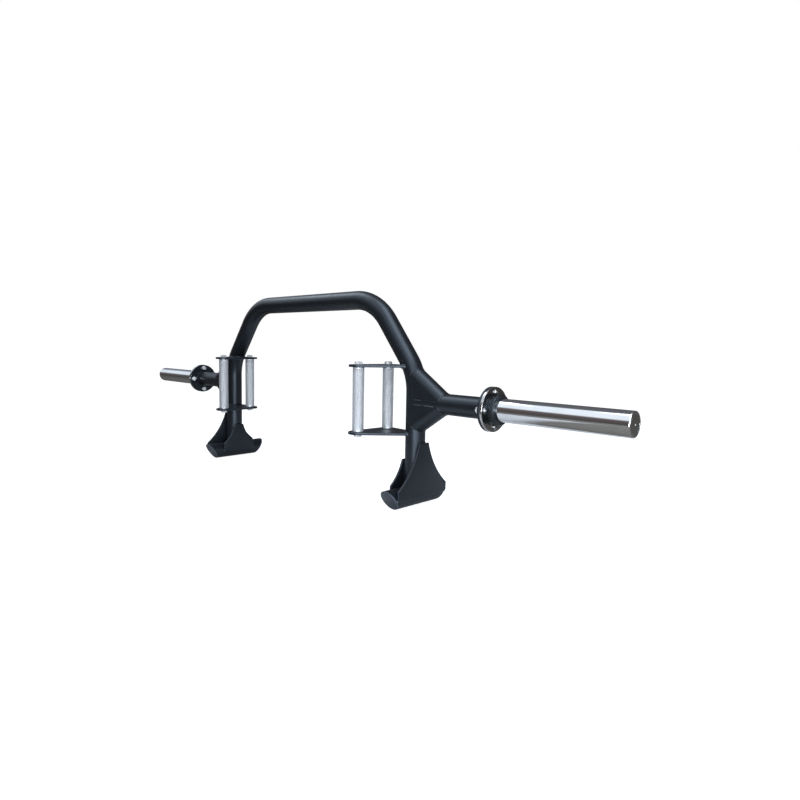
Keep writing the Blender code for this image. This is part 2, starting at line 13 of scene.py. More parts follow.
import bmesh
import bpy
from mathutils import Matrix, Quaternion, Vector


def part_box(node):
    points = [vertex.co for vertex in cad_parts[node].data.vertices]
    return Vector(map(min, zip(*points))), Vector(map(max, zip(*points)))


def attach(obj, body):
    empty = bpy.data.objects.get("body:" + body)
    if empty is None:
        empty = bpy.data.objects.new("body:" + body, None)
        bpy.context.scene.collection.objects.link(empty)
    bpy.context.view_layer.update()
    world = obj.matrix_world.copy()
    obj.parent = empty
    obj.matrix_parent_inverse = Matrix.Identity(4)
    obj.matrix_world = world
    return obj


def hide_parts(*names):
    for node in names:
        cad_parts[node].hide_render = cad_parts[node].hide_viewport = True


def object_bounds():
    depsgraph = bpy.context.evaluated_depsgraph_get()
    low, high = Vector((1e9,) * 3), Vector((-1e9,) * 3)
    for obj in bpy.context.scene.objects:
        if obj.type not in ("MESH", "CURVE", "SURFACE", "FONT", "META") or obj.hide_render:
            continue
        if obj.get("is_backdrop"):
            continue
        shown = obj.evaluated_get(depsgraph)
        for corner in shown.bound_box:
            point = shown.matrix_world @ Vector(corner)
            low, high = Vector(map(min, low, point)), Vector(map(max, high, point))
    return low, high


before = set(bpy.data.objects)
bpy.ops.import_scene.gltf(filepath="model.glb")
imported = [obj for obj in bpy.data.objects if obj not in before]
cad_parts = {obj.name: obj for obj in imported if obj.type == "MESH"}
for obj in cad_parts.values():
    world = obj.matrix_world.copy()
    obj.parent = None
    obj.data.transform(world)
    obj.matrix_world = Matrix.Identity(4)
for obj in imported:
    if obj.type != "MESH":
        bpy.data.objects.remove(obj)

log = logging.getLogger("trap_bar")

Node = bpy.types.Node
Socket = bpy.types.NodeSocket
Piece = bpy.types.Object
Vert = bmesh.types.BMVert
Edge = bmesh.types.BMEdge
Colour = tuple[float, float, float]
Stops = tuple[tuple[float, Colour], ...]
Outline = Callable[[float], float]
Inputs = Mapping[str, Socket]

CAD_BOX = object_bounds()
BODY = "root"
NUMBER, VECTOR = "NodeSocketFloat", "NodeSocketVector"
WHITE = (1.0, 1.0, 1.0)
UP = Vector((0.0, 0.0, 1.0))

TIDY_DISTANCE = 0.000002
CREASE = 32.0
WELD_CREASE = 50.0
FILLET_STEPS = 5
FILLET_SUPPORT = 1.15
RIM_STEPS = 4
TURN_SIDES = 96
HEX_SIDES = 36
SEAM_POINTS = 97
ENDS = {"front": -1, "rear": 1}


class Choice(Enum):
    """One of a few, whose name is a part of piece names."""

    @property
    def tag(self) -> str:
        """The name as it is in piece names."""
        return self.name.lower()


class Side(Choice):
    """The two ends of the bar; the value is the sign of X there."""

    LEFT = -1
    RIGHT = 1

    @property
    def outward(self) -> Vector:
        """Direction from the middle of the bar towards this side."""
        return Vector((float(self.value), 0.0, 0.0))


class Level(Choice):
    """Above or below; the value is the sign of Z."""

    LOWER = -1
    UPPER = 1


class Row(Choice):
    """The two grips of a side; the value is their inset from the leg and place in Y."""

    REAR = (0.0955, 0.0)
    FRONT = (0.100, -0.0955)


class Slot(Enum):
    """Material slots of the record that the finishes belong to."""

    BLACK_COAT = "black_coat"
    CHROME = "chrome"
    KNURLED_STEEL = "knurled_steel"
    ZINC = "zinc"
    RUBBER = "rubber"


# Shader nodes


class NodeSheet:
    """A node tree that is being filled."""

    def __init__(self, tree: bpy.types.NodeTree) -> None:
        """Take over the tree of a material, a world or a node group."""
        self.tree = tree

    def feed(self, entry: Socket, value: object) -> None:
        """Link an output to an input, or set the input's value.

        Args:
            entry: The input.
            value: The output, or a number, a vector, or a colour without its alpha.
        """
        if isinstance(value, Socket):
            self.tree.links.new(value, entry)
        else:
            entry.default_value = (*value, 1.0) if entry.type == "RGBA" else value

    def add(self, kind: str, inputs: Mapping | None = None, **settings: object) -> Node:
        """Add a node, set its fields and feed its inputs.

        Args:
            kind: Blender's type name of the node.
            inputs: Values or outputs by the name or number of the input.
            **settings: Fields of the node, such as its operation.

        Returns:
            The new node.
        """
        node = self.tree.nodes.new(kind)
        for name, value in settings.items():
            setattr(node, name, value)
        for key, value in (inputs or {}).items():
            self.feed(node.inputs[key], value)
        return node

    def math(self, operation: str, *values: object, clamp: bool = False) -> Socket:
        """Give the result of a Math node, kept between 0 and 1 where it is clamped."""
        inputs = dict(enumerate(values))
        return self.add("ShaderNodeMath", inputs, operation=operation, use_clamp=clamp).outputs[0]

    def spread(
        self, value: Socket, low: float, high: float, to_low: float = 0.0, to_high: float = 1.0
    ) -> Socket:
        """Map a range of values to another one, clamped.

        Args:
            value: The values.
            low: Value that becomes to_low.
            high: Value that becomes to_high.
            to_low: Result at low.
            to_high: Result at high.

        Returns:
            The mapped values.
        """
        names = ("Value", "From Min", "From Max", "To Min", "To Max")
        inputs = dict(zip(names, (value, low, high, to_low, to_high)))
        return self.add("ShaderNodeMapRange", inputs, clamp=True).outputs["Result"]

    def blend(self, share: Socket, first: object, second: object) -> Socket:
        """Mix two colours; the share of the second one runs from 0 to 1."""
        return self.add("ShaderNodeMix", {0: share, 6: first, 7: second}, data_type="RGBA").outputs[2]

    def noise(self, place: Socket, scale: object, detail: float, **more: float) -> Socket:
        """Give the value of a noise texture; further inputs of it are given by name."""
        inputs = {"Vector": place, "Scale": scale, "Detail": detail, **more}
        return self.add("ShaderNodeTexNoise", inputs).outputs["Fac"]


def fill_skin(sheet: NodeSheet, entry: Inputs) -> tuple[Socket, ...]:
    """Lay fine grain over a slow orange-peel swell, as on a sprayed or cast surface.

    Args:
        sheet: The group's nodes.
        entry: The group's inputs.

    Returns:
        Height of the surface, and a slow mottle.
    """
    place, fineness = entry["Place"], entry["Fineness"]
    grain = sheet.noise(place, fineness, 2.0, Roughness=0.55)
    peel = sheet.noise(place, sheet.math("MULTIPLY", fineness, 0.24), 1.0, Roughness=0.55)
    slow = sheet.noise(place, sheet.math("MULTIPLY", fineness, 0.012), 3.0, Roughness=0.55)
    height = sheet.math("MULTIPLY", sheet.math("MULTIPLY_ADD", peel, 1.6, grain), 0.4)
    return height, sheet.spread(slow, 0.32, 0.68)


def fill_worn_and_highlight_painted_rim(sheet: NodeSheet, entry: Inputs) -> tuple[Socket, ...]:
    """Break up the rims that the piece notes: on the coat as edges rubbed a little thin, on the foot caps as
    a painted highlight.

    Args:
        sheet: The group's nodes.
        entry: The group's inputs.

    Returns:
        The mask of what is rubbed.
    """
    broken = sheet.spread(sheet.noise(entry["Place"], 90.0, 4.0), 0.35, 0.62, 0.25, 1.0)
    strength = sheet.math("MULTIPLY", broken, entry["Amount"])
    return (sheet.math("MULTIPLY", strength, entry["Rim"], clamp=True),)


def fill_handling(sheet: NodeSheet, entry: Inputs) -> tuple[Socket, ...]:
    """Lay drawn-out smears over small specks, as handling and dust leave them.

    Args:
        sheet: The group's nodes.
        entry: The group's inputs.

    Returns:
        The mask of the smears and the mask of the specks.
    """
    scale = sheet.math("DIVIDE", 1.0, entry["Size"])
    smear = sheet.noise(entry["Place"], scale, 5.0, Distortion=1.4)
    cells = {"Vector": entry["Place"], "Scale": sheet.math("MULTIPLY", scale, 14.0)}
    specks = sheet.add("ShaderNodeTexVoronoi", cells).outputs["Distance"]
    return sheet.spread(smear, 0.4, 0.7), sheet.spread(specks, 0.05, 0.14, 1.0, 0.0)


def fill_tool_lines(sheet: NodeSheet, entry: Inputs) -> tuple[Socket, ...]:
    """Squeeze noise along one direction, as turning, drawing or polishing leaves lines.

    Args:
        sheet: The group's nodes.
        entry: The group's inputs.

    Returns:
        Height of the surface.
    """
    factors = {0: entry["Place"], 1: entry["Squeeze"]}
    squeezed = sheet.add("ShaderNodeVectorMath", factors, operation="MULTIPLY")
    return (sheet.noise(squeezed.outputs[0], 1.0, 3.0, Roughness=0.6),)


@dataclass(frozen=True)
class Effect:
    """A node group that several finishes share."""

    name: str
    inputs: dict[str, str]
    outputs: tuple[str, ...]
    fill: Callable[[NodeSheet, Inputs], tuple[Socket, ...]]

    def group(self) -> bpy.types.NodeTree:
        """Give the group, made the first time it is asked for."""
        return bpy.data.node_groups.get(self.name) or self.make()

    def make(self) -> bpy.types.NodeTree:
        """Make the group with its sockets and fill it.

        Returns:
            The new group.
        """
        tree = bpy.data.node_groups.new(self.name, "ShaderNodeTree")
        for label, kind in {"Place": VECTOR, **self.inputs}.items():
            tree.interface.new_socket(label, in_out="INPUT", socket_type=kind)
        for label in self.outputs:
            tree.interface.new_socket(label, in_out="OUTPUT", socket_type=NUMBER)
        sheet = NodeSheet(tree)
        results = self.fill(sheet, sheet.add("NodeGroupInput").outputs)
        sheet.add("NodeGroupOutput", dict(zip(self.outputs, results)))
        return tree


SKIN = Effect("skin", {"Fineness": NUMBER}, ("Height", "Mottle"), fill_skin)
WORN_AND_HIGHLIGHT_PAINTED_RIM = Effect("rim_wear_and_painted_highlight", {"Rim": NUMBER, "Amount": NUMBER}, ("Mask",), fill_worn_and_highlight_painted_rim)
HANDLING = Effect("handling", {"Size": NUMBER}, ("Smear", "Specks"), fill_handling)
TOOL_LINES = Effect("tool_lines", {"Squeeze": VECTOR}, ("Height",), fill_tool_lines)


class Surface(NodeSheet):
    """The nodes of a material, round its Principled BSDF."""

    def __init__(self, material: bpy.types.Material) -> None:
        """Take over a new material."""
        material.use_nodes = True
        super().__init__(material.node_tree)
        self.shader = self.tree.nodes["Principled BSDF"]
        self.place = self.add("ShaderNodeTexCoord").outputs["Object"]

    def shade(self, values: dict[str, object]) -> None:
        """Feed inputs of the shader by their names."""
        for name, value in values.items():
            self.feed(self.shader.inputs[name], value)

    def effect(self, effect: Effect, **inputs: object) -> Inputs:
        """Place a shared effect, with values or outputs for its inputs, and give its outputs."""
        return self.add("ShaderNodeGroup", {"Place": self.place, **inputs}, node_tree=effect.group()).outputs

    def attribute(self, name: str) -> Socket:
        """Read a number that the mesh carries."""
        return self.add("ShaderNodeAttribute", attribute_name=name).outputs["Fac"]

    def bump(self, height: Socket, depth: float, strength: float) -> None:
        """Raise the surface by a height from 0 to 1, to a depth in metres."""
        inputs = {"Height": height, "Distance": depth, "Strength": strength}
        self.shade({"Normal": self.add("ShaderNodeBump", inputs).outputs["Normal"]})


@dataclass(frozen=True)
class Finish:
    """A finish of two colours that smears blend, over a fine skin."""

    name: str
    colour: Colour
    second_colour: Colour
    slot: Slot
    metallic: float = 0.0
    specular: float = 0.5
    sheen_tint: Colour = WHITE
    smoothest: float = 0.16
    roughest: float = 0.30
    smear_size: float = 0.006
    fineness: float = 2600.0
    depth: float = 0.00003
    strength: float = 0.25

    def material(self) -> bpy.types.Material:
        """Give the finish's material, made the first time it is asked for."""
        return bpy.data.materials.get(self.name) or self.make()

    def make(self) -> bpy.types.Material:
        """Make the material.

        Returns:
            The new material.
        """
        material = bpy.data.materials.new(self.name)
        on = Surface(material)
        on.shade({"Metallic": self.metallic, "Specular IOR Level": self.specular})
        # A tint below white is a painted tint on the reflections.
        on.shade({"Specular Tint": self.sheen_tint})
        self.surface(on)
        return material

    def surface(self, on: Surface) -> None:
        """Fill in colour, roughness and bump.

        Args:
            on: The material's nodes.
        """
        smear = on.effect(HANDLING, Size=self.smear_size)["Smear"]
        colour = on.blend(smear, self.colour, self.second_colour)
        rough = on.spread(smear, 0.0, 1.0, self.smoothest, self.roughest)
        on.shade({"Base Color": colour, "Roughness": rough})
        on.bump(on.effect(SKIN, Fineness=self.fineness)["Height"], self.depth, self.strength)


@dataclass(frozen=True)
class PowderCoat(Finish):
    """Satin slate-black powder coat with a fine skin, a little thin on the rims; on the foot caps the rim
    colour is a painted highlight instead.
    """

    slot: Slot = Slot.BLACK_COAT
    # Painted blue tint on the coat's reflections, standing in for bluish light.
    sheen_tint: Colour = (0.73, 0.85, 1.0)
    smoothest: float = 0.30
    roughest: float = 0.40
    smear_size: float = 0.09
    fineness: float = 1500.0
    depth: float = 0.00012
    strength: float = 0.35
    rim_colour: Colour = (0.030, 0.035, 0.045)
    rim_amount: float = 0.7
    smear_roughness: float = 0.05

    def surface(self, on: Surface) -> None:
        """Fill in colour, roughness and bump.

        Args:
            on: The material's nodes.
        """
        skin = on.effect(SKIN, Fineness=self.fineness)
        smear = on.effect(HANDLING, Size=self.smear_size)["Smear"]
        rim = on.effect(WORN_AND_HIGHLIGHT_PAINTED_RIM, Rim=on.attribute("rim"), Amount=self.rim_amount)["Mask"]
        coat = on.blend(skin["Mottle"], self.colour, self.second_colour)
        uneven = on.spread(skin["Height"], 0.3, 0.75, self.smoothest, self.roughest)
        rough = on.math("MULTIPLY_ADD", smear, self.smear_roughness, uneven)
        # Rims take the rim colour: wear on the coat, a painted highlight on the foot caps.
        on.shade({"Base Color": on.blend(rim, coat, self.rim_colour), "Roughness": rough})
        on.bump(skin["Height"], self.depth, self.strength)


@dataclass(frozen=True)
class Chrome(Finish):
    """Bright chrome plate over turned steel, with faint smears."""

    slot: Slot = Slot.CHROME
    metallic: float = 1.0
    smoothest: float = 0.045
    roughest: float = 0.12
    smear_size: float = 0.05
    depth: float = 0.000004
    squeeze: Colour = (2600.0, 30.0, 30.0)
    speck_roughness: float = 0.10
    rim_roughness: float = 0.20

    def surface(self, on: Surface) -> None:
        """Fill in colour, roughness and bump.

        Args:
            on: The material's nodes.
        """
        handling = on.effect(HANDLING, Size=self.smear_size)
        colour = on.blend(handling["Smear"], self.colour, self.second_colour)
        rough = on.spread(handling["Smear"], 0.0, 1.0, self.smoothest, self.roughest)
        rough = on.math("MULTIPLY_ADD", handling["Specks"], self.speck_roughness, rough)
        rough = on.math("MULTIPLY_ADD", on.attribute("rim"), self.rim_roughness, rough)
        on.shade({"Base Color": colour, "Roughness": rough})
        on.bump(on.effect(TOOL_LINES, Squeeze=self.squeeze)["Height"], self.depth, self.strength)


@dataclass(frozen=True)
class KnurledSteel(Finish):
    """Bright knurled steel with painted shade in the grooves between the points, and a random darker mottle.
    """

    slot: Slot = Slot.KNURLED_STEEL
    smoothest: float = 0.34
    roughest: float = 0.46
    smear_size: float = 0.03
    fineness: float = 20000.0
    depth: float = 0.00002
    strength: float = 0.3
    squeeze: Colour = (400.0, 400.0, 2400.0)
    wear: float = 0.9

    def surface(self, on: Surface) -> None:
        """Fill in colour, roughness and bump.

        Args:
            on: The material's nodes.
        """
        smear = on.effect(HANDLING, Size=self.smear_size)["Smear"]
        worn = on.math("MULTIPLY", on.effect(SKIN, Fineness=self.fineness)["Mottle"], self.wear)
        # Groove vertices get the darker second colour as painted shade; the mottle darkens at random.
        colour = on.blend(on.math("MAXIMUM", on.attribute("groove"), worn), self.colour, self.second_colour)
        rough = on.spread(smear, 0.0, 1.0, self.smoothest, self.roughest)
        on.shade({"Base Color": colour, "Roughness": rough})
        on.bump(on.effect(TOOL_LINES, Squeeze=self.squeeze)["Height"], self.depth, self.strength)


COAT = PowderCoat("powder_coat", (0.0044, 0.0052, 0.0068), (0.0052, 0.0061, 0.0080), specular=0.59)
WELD_COAT = PowderCoat(
    "powder_coat_on_weld",
    (0.0050, 0.0059, 0.0077),
    (0.0052, 0.0061, 0.0080),
    specular=0.60,
    smoothest=0.22,
    roughest=0.32,
)
# The foot caps' coat is lightened as a painted reflection of the floor, and its rim colour is a painted
# highlight along the rims.
CAP_COAT_WITH_PAINTED_LIGHT = PowderCoat(
    "powder_coat_on_caps",
    (0.020, 0.0235, 0.030),
    (0.024, 0.028, 0.035),
    specular=0.62,
    # Painted highlight along the caps' rims.
    rim_colour=(0.105, 0.122, 0.150),
)
# The coat of the tacks and seams is lightened as a painted highlight, on top of its real gloss.
TACK_COAT_WITH_PAINTED_HIGHLIGHT = PowderCoat(
    "powder_coat_on_tacks",
    (0.050, 0.056, 0.064),
    (0.075, 0.082, 0.090),
    specular=1.0,
    smoothest=0.14,
    roughest=0.22,
)
SLEEVE_CHROME = Chrome("sleeve_chrome", (0.84, 0.85, 0.87), (0.7812, 0.7905, 0.8091))
FLANGE_CHROME = Chrome(
    "flange_chrome",
    (0.55, 0.545, 0.54),
    (0.5115, 0.50685, 0.5022),
    smoothest=0.10,
    roughest=0.20,
    squeeze=(60.0, 700.0, 700.0),
)
# The second colour is the painted shade of the knurl's grooves.
GRIP_STEEL = KnurledSteel("grip_steel", (0.79, 0.80, 0.825), (0.39, 0.40, 0.42), metallic=0.58)
BOLT_ZINC = Finish("bolt_zinc", (0.93, 0.95, 0.98), (0.78, 0.78, 0.76), Slot.ZINC, metallic=0.55)
SCREW_STEEL = Finish(
    "screw_steel",
    (0.35, 0.36, 0.38),
    (0.27, 0.27, 0.26),
    Slot.ZINC,
    metallic=1.0,
    smoothest=0.28,
    roughest=0.40,
)
RING_RUBBER = Finish(
    "ring_rubber",
    (0.0052, 0.0066, 0.0080),
    (0.00884, 0.01122, 0.0136),
    Slot.RUBBER,
    specular=0.56,
    # Painted blue tint on the rubber's reflections, standing in for bluish light.
    sheen_tint=(0.78, 0.88, 1.0),
    smoothest=0.36,
    roughest=0.48,
    smear_size=0.02,
    fineness=900.0,
    depth=0.00008,
    strength=0.3,
)


# Modelling


def put_in_scene(name: str, data: bpy.types.ID) -> Piece:
    """Make an object of some data and link it to the scene.

    Args:
        name: Name of the object.
        data: Its mesh, lamp or camera.

    Returns:
        The object.
    """
    made = bpy.data.objects.new(name, data)
    bpy.context.scene.collection.objects.link(made)
    return made


def turn_to(direction: Vector) -> Matrix:
    """Give the rotation that turns +Z to a direction, as a 4 by 4 matrix."""
    return direction.to_track_quat("Z", "Y").to_matrix().to_4x4()


def stand_at(place: Vector, direction: Vector) -> Matrix:
    """Give the matrix that puts a shape made along +Z at a place, along a direction."""
    return Matrix.Translation(place) @ turn_to(direction)


def steps_between(start: float, end: float, count: int) -> list[float]:
    """Give a number of evenly spaced values, both ends included."""
    return [start + (end - start) * index / (count - 1) for index in range(count)]


def verts_in(geometry: Iterable[object]) -> list[Vert]:
    """Give the vertices among some geometry."""
    return [item for item in geometry if isinstance(item, Vert)]


def circle(radius: float) -> Outline:
    """Give the outline of a circle of a radius."""
    return lambda angle: radius


def hexagon(across_flats: float) -> Outline:
    """Give the outline of a hexagon.

    Args:
        across_flats: Its width over two flats.

    Returns:
        A function from direction to distance from the middle.
    """

    def reach(angle: float) -> float:
        """Give the distance from the middle to the edge in a direction."""
        off_flat = (angle + math.pi / 6) % (math.pi / 3) - math.pi / 6
        return across_flats / 2 / math.cos(off_flat)

    return reach


@dataclass(frozen=True)
class Corner:
    """Corner of a turned profile, rounded where its fillet is above zero."""

    radius: float
    height: float
    fillet: float = 0.0

    @property
    def place(self) -> Vector:
        """Where the corner is in the XZ plane."""
        return Vector((self.radius, 0.0, self.height))

    def towards(self, other: "Corner") -> Vector:
        """Give the place just past the fillet on the way to the next corner."""
        way = other.place - self.place
        return self.place + way.normalized() * min(self.fillet * FILLET_SUPPORT, way.length * 0.49)


@dataclass(frozen=True)
class Pipe:
    """Round bar along a path, used to find where other pieces meet its surface."""

    path: tuple[Vector, ...]
    radius: float

    def clearance(self, point: Vector) -> float:
        """Give how far a point is outside the surface, or inside if it is negative.

        Args:
            point: The point.

        Returns:
            The distance.
        """
        nearest = math.inf
        for start, end in zip(self.path, self.path[1:]):
            along = end - start
            share = max(0.0, min(1.0, (point - start).dot(along) / along.length_squared))
            nearest = min(nearest, (point - start - along * share).length)
        return nearest - self.radius

    def meet(
        self, start: Vector, direction: Vector, reach: float = 0.2, near: float = 0.00002
    ) -> Vector | None:
        """Find where a ray from outside first touches the surface.

        Args:
            start: Where the ray begins.
            direction: Where it goes.
            reach: How far it goes at most.
            near: How close to the surface is a touch.

        Returns:
            The point, or None if the ray misses.
        """
        way = direction.normalized()
        gone = 0.0
        while gone < reach:
            gap = self.clearance(start + way * gone)
            if gap < near:
                return start + way * gone
            gone += gap
        return None

    def outline_on(self, other: "Pipe") -> list[Vector | None]:
        """Find the outline of this straight pipe on another pipe, looking from its end to its start.

        Args:
            other: The pipe that it meets.

        Returns:
            The points round the outline, the first one once more at the end, and None for a miss.
        """
        along = (self.path[0] - self.path[-1]).normalized()
        turn = turn_to(along).to_3x3()
        points = []
        for angle in steps_between(0.0, math.tau, SEAM_POINTS):
            off = turn @ Vector((math.cos(angle), math.sin(angle), 0.0)) * self.radius
            points.append(other.meet(self.path[-1] + off, along))
        return points


class Workpiece:
    """A mesh that is being shaped with bmesh operators."""

    def __init__(self) -> None:
        """Start with nothing."""
        self.shape = bmesh.new()
        # Rims: worn lighter on the coat, a painted highlight on the foot caps.
        self.rim = self.shape.faces.layers.float.new("rim")
        # Marks knurl grooves, which the grip finish darkens as painted shade.
        self.groove = self.shape.verts.layers.float.new("groove")

    @property
    def geometry(self) -> list:
        """All vertices, edges and faces."""
        return [*self.shape.verts, *self.shape.edges, *self.shape.faces]

    def edges_among(self, verts: Sequence[Vert]) -> list[Edge]:
        """Give the edges with both ends among some vertices, in a fixed order.

        Args:
            verts: The vertices.

        Returns:
            The edges.
        """
        ring = set(verts)
        found = dict.fromkeys(edge for vert in verts for edge in vert.link_edges)
        return [edge for edge in found if all(end in ring for end in edge.verts)]

    def ring(self, radius: float, sides: int, place: Matrix) -> list[Vert]:
        """Start from a filled circle and give its vertices."""
        made = bmesh.ops.create_circle(self.shape, cap_ends=True, radius=radius, segments=sides, matrix=place)
        return made["verts"]

    def extrude(self, ring: Sequence[Vert], move: Vector | None = None) -> list[Vert]:
        """Extrude a ring of vertices.

        Args:
            ring: The vertices of the ring.
            move: How far the new ring moves, if it does.

        Returns:
            The vertices of the new ring.
        """
        verts = verts_in(bmesh.ops.extrude_edge_only(self.shape, edges=self.edges_among(ring))["geom"])
        if move is not None:
            bmesh.ops.translate(self.shape, verts=verts, vec=move)
        return verts

    def spin(
        self, ring: Sequence[Vert], centre: Vector, axis: Vector, angle: float, steps: int
    ) -> list[Vert]:
        """Sweep vertices and the edges among them round an axis; a full turn closes on itself.

        Args:
            ring: The vertices.
            centre: A point on the axis.
            axis: Direction of the axis.
            angle: How far they turn.
            steps: In how many steps.

        Returns:
            The last vertices.
        """
        made = bmesh.ops.spin(
            self.shape,
            geom=[*ring, *self.edges_among(ring)],
            cent=centre,
            axis=axis,
            dvec=(0.0, 0.0, 0.0),
            angle=angle,
            steps=steps,
            use_merge=angle == math.tau,
            use_duplicate=False,
        )
        return verts_in(made["geom_last"])

    def bevel(
        self, parts: Sequence, offset: float, segments: int, affect: str, clamp: bool
    ) -> dict[str, list]:
        """Round edges or corners.

        Args:
            parts: The edges or vertices.
            offset: Radius of the rounding.
            segments: How many pieces it has across.
            affect: EDGES or VERTICES.
            clamp: Whether roundings that would overlap get smaller.

        Returns:
            What was made, by kind.
        """
        return bmesh.ops.bevel(
            self.shape,
            geom=list(parts),
            offset=offset,
            offset_type="OFFSET",
            segments=segments,
            profile=0.5,
            affect=affect,
            clamp_overlap=clamp,
            material=-1,
        )

    def round_edges(self, edges: Sequence[Edge], rounding: float, segments: int = RIM_STEPS) -> None:
        """Round some edges and note them as a rim.

        Args:
            edges: The edges.
            rounding: Radius of the rounding.
            segments: How many faces it has across.
        """
        for face in self.bevel(edges, rounding, segments, "EDGES", True)["faces"]:
            face[self.rim] = 1.0

    def close(self, verts: Sequence[Vert]) -> None:
        """Fill a ring with one face."""
        bmesh.ops.contextual_create(self.shape, geom=self.edges_among(verts))

    def wrap(self, rings: int, sides: int, at: Callable[[int, int], Vector]) -> list[Vert]:
        """Wrap a grid round into a tube; its seam is merged when the piece is finished.

        Args:
            rings: How many rings the tube has.
            sides: How many sides it has.
            at: Gives the place of a vertex by the numbers of its ring and side.

        Returns:
            The vertices, ring after ring, each with its first one once more at the end.
        """
        made = bmesh.ops.create_grid(self.shape, x_segments=sides, y_segments=rings - 1, size=1.0)
        for index, vert in enumerate(made["verts"]):
            ring, side = divmod(index, sides + 1)
            vert.co = at(ring, side % sides)
        return made["verts"]

    def sweep(self, path: Sequence[Vector], radii: Sequence[float], sides: int, closed: bool) -> None:
        """Sweep a circle along a path.

        Args:
            path: The points that its middle follows.
            radii: Its radius at each point; an open end closes where it is 0.
            sides: How many sides it has.
            closed: Whether the path runs back to its first point.
        """
        frames = path_frames(path, closed)
        spokes = [Vector((math.cos(a), math.sin(a), 0.0)) for a in steps_between(0.0, math.tau, sides + 1)]

        def at(ring: int, side: int) -> Vector:
            """Give a vertex of the swept tube."""
            index = ring % len(path)
            return frames[index] @ (spokes[side] * radii[index])

        self.wrap(len(path) + closed, sides, at)

    def rod(self, radius: float, start: Vector, end: Vector, sides: int) -> None:
        """Add a closed straight bar between the middles of its two ends."""
        ring = self.ring(radius, sides, stand_at(start, end - start))
        self.close(self.extrude(ring, end - start))

    def turned(self, corners: Sequence[Corner], steps: int, place: Matrix, closed: bool = False) -> None:
        """Turn a profile round +Z and put it in place.

        Args:
            corners: The profile, from the top of its outer side to the bottom.
            steps: How many steps the full turn has.
            place: Where it goes.
            closed: Whether the profile runs back to its first corner, as round a bore.
        """
        before = set(self.shape.verts)
        new = self.shape.verts.new
        knots, rounded = [], []
        for index, corner in enumerate(corners):
            if corner.fillet:
                last, after = corners[index - 1], corners[(index + 1) % len(corners)]
                spots = (corner.towards(last), corner.place, corner.towards(after))
                knots += [new(spot) for spot in spots]
                rounded.append((knots[-2], corner.fillet))
            else:
                knots.append(new(corner.place))
        for ends in zip(knots, knots[1:] + knots[:1] if closed else knots[1:]):
            self.shape.edges.new(ends)
        for knot, fillet in rounded:
            self.bevel([knot], fillet, FILLET_STEPS, "VERTICES", False)
        wire = [vert for vert in self.shape.verts if vert not in before]
        self.spin(wire, Vector(), UP, math.tau, steps)
        made = [vert for vert in self.shape.verts if vert not in before]
        bmesh.ops.transform(self.shape, matrix=place, verts=made)

    def stack(self, rings: Sequence[tuple[Outline, Outline]], place: Matrix) -> None:
        """Build a closed shape from rings of any outline, one above the other.

        Args:
            rings: For each ring its outline and its height, both by direction.
            place: Where it goes.
        """
        made: list[Vert] = []
        ring = self.ring(1.0, HEX_SIDES, Matrix.Identity(4))
        for index, (outline, height) in enumerate(rings):
            if index:
                ring = self.extrude(ring)
            for vert in ring:
                angle = math.atan2(vert.co.y, vert.co.x)
                reach = outline(angle)
                vert.co = (reach * math.cos(angle), reach * math.sin(angle), height(angle))
            made += ring
        self.close(ring)
        bmesh.ops.transform(self.shape, matrix=place, verts=made)

    def plate(
        self, outline: Sequence[Sequence[float]], low: Vector, high: Vector
    ) -> tuple[list[Vert], list[Vert]]:
        """Add a flat plate with sharp edges.

        Args:
            outline: Its corners.
            low: Where its first face lies from the corners.
            high: Where its second face lies from the corners.

        Returns:
            The vertices of its two faces.
        """
        first = [self.shape.verts.new(corner) for corner in outline]
        face = bmesh.ops.contextual_create(self.shape, geom=first)["faces"]
        made = bmesh.ops.extrude_face_region(self.shape, geom=face, use_keep_orig=True)
        second = verts_in(made["geom"])
        for verts, way in ((first, low), (second, high)):
            bmesh.ops.translate(self.shape, verts=verts, vec=way)
        return first, second

    def piece(
        self, name: str, finish: Finish, stands_for: Iterable[str] = (), crease: float = CREASE
    ) -> Piece:
        """Finish the mesh as a piece of the object.

        Args:
            name: Name of the piece.
            finish: Its finish.
            stands_for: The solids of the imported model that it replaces.
            crease: Angle in degrees above which an edge is sharp.

        Returns:
            The piece's object.
        """
        bmesh.ops.remove_doubles(self.shape, verts=self.shape.verts[:], dist=TIDY_DISTANCE)
        bmesh.ops.recalc_face_normals(self.shape, faces=self.shape.faces[:])
        mesh = bpy.data.meshes.new(name)
        self.shape.to_mesh(mesh)
        self.shape.free()
        mesh.shade_smooth()
        for polygon in mesh.polygons:
            polygon.use_smooth = len(polygon.vertices) <= 4
        mesh.set_sharp_from_angle(angle=math.radians(crease))
        mesh.materials.append(finish.material())
        made = put_in_scene(name, mesh)
        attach(made, BODY)
        if stands_for:
            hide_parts(*stands_for)
        return made


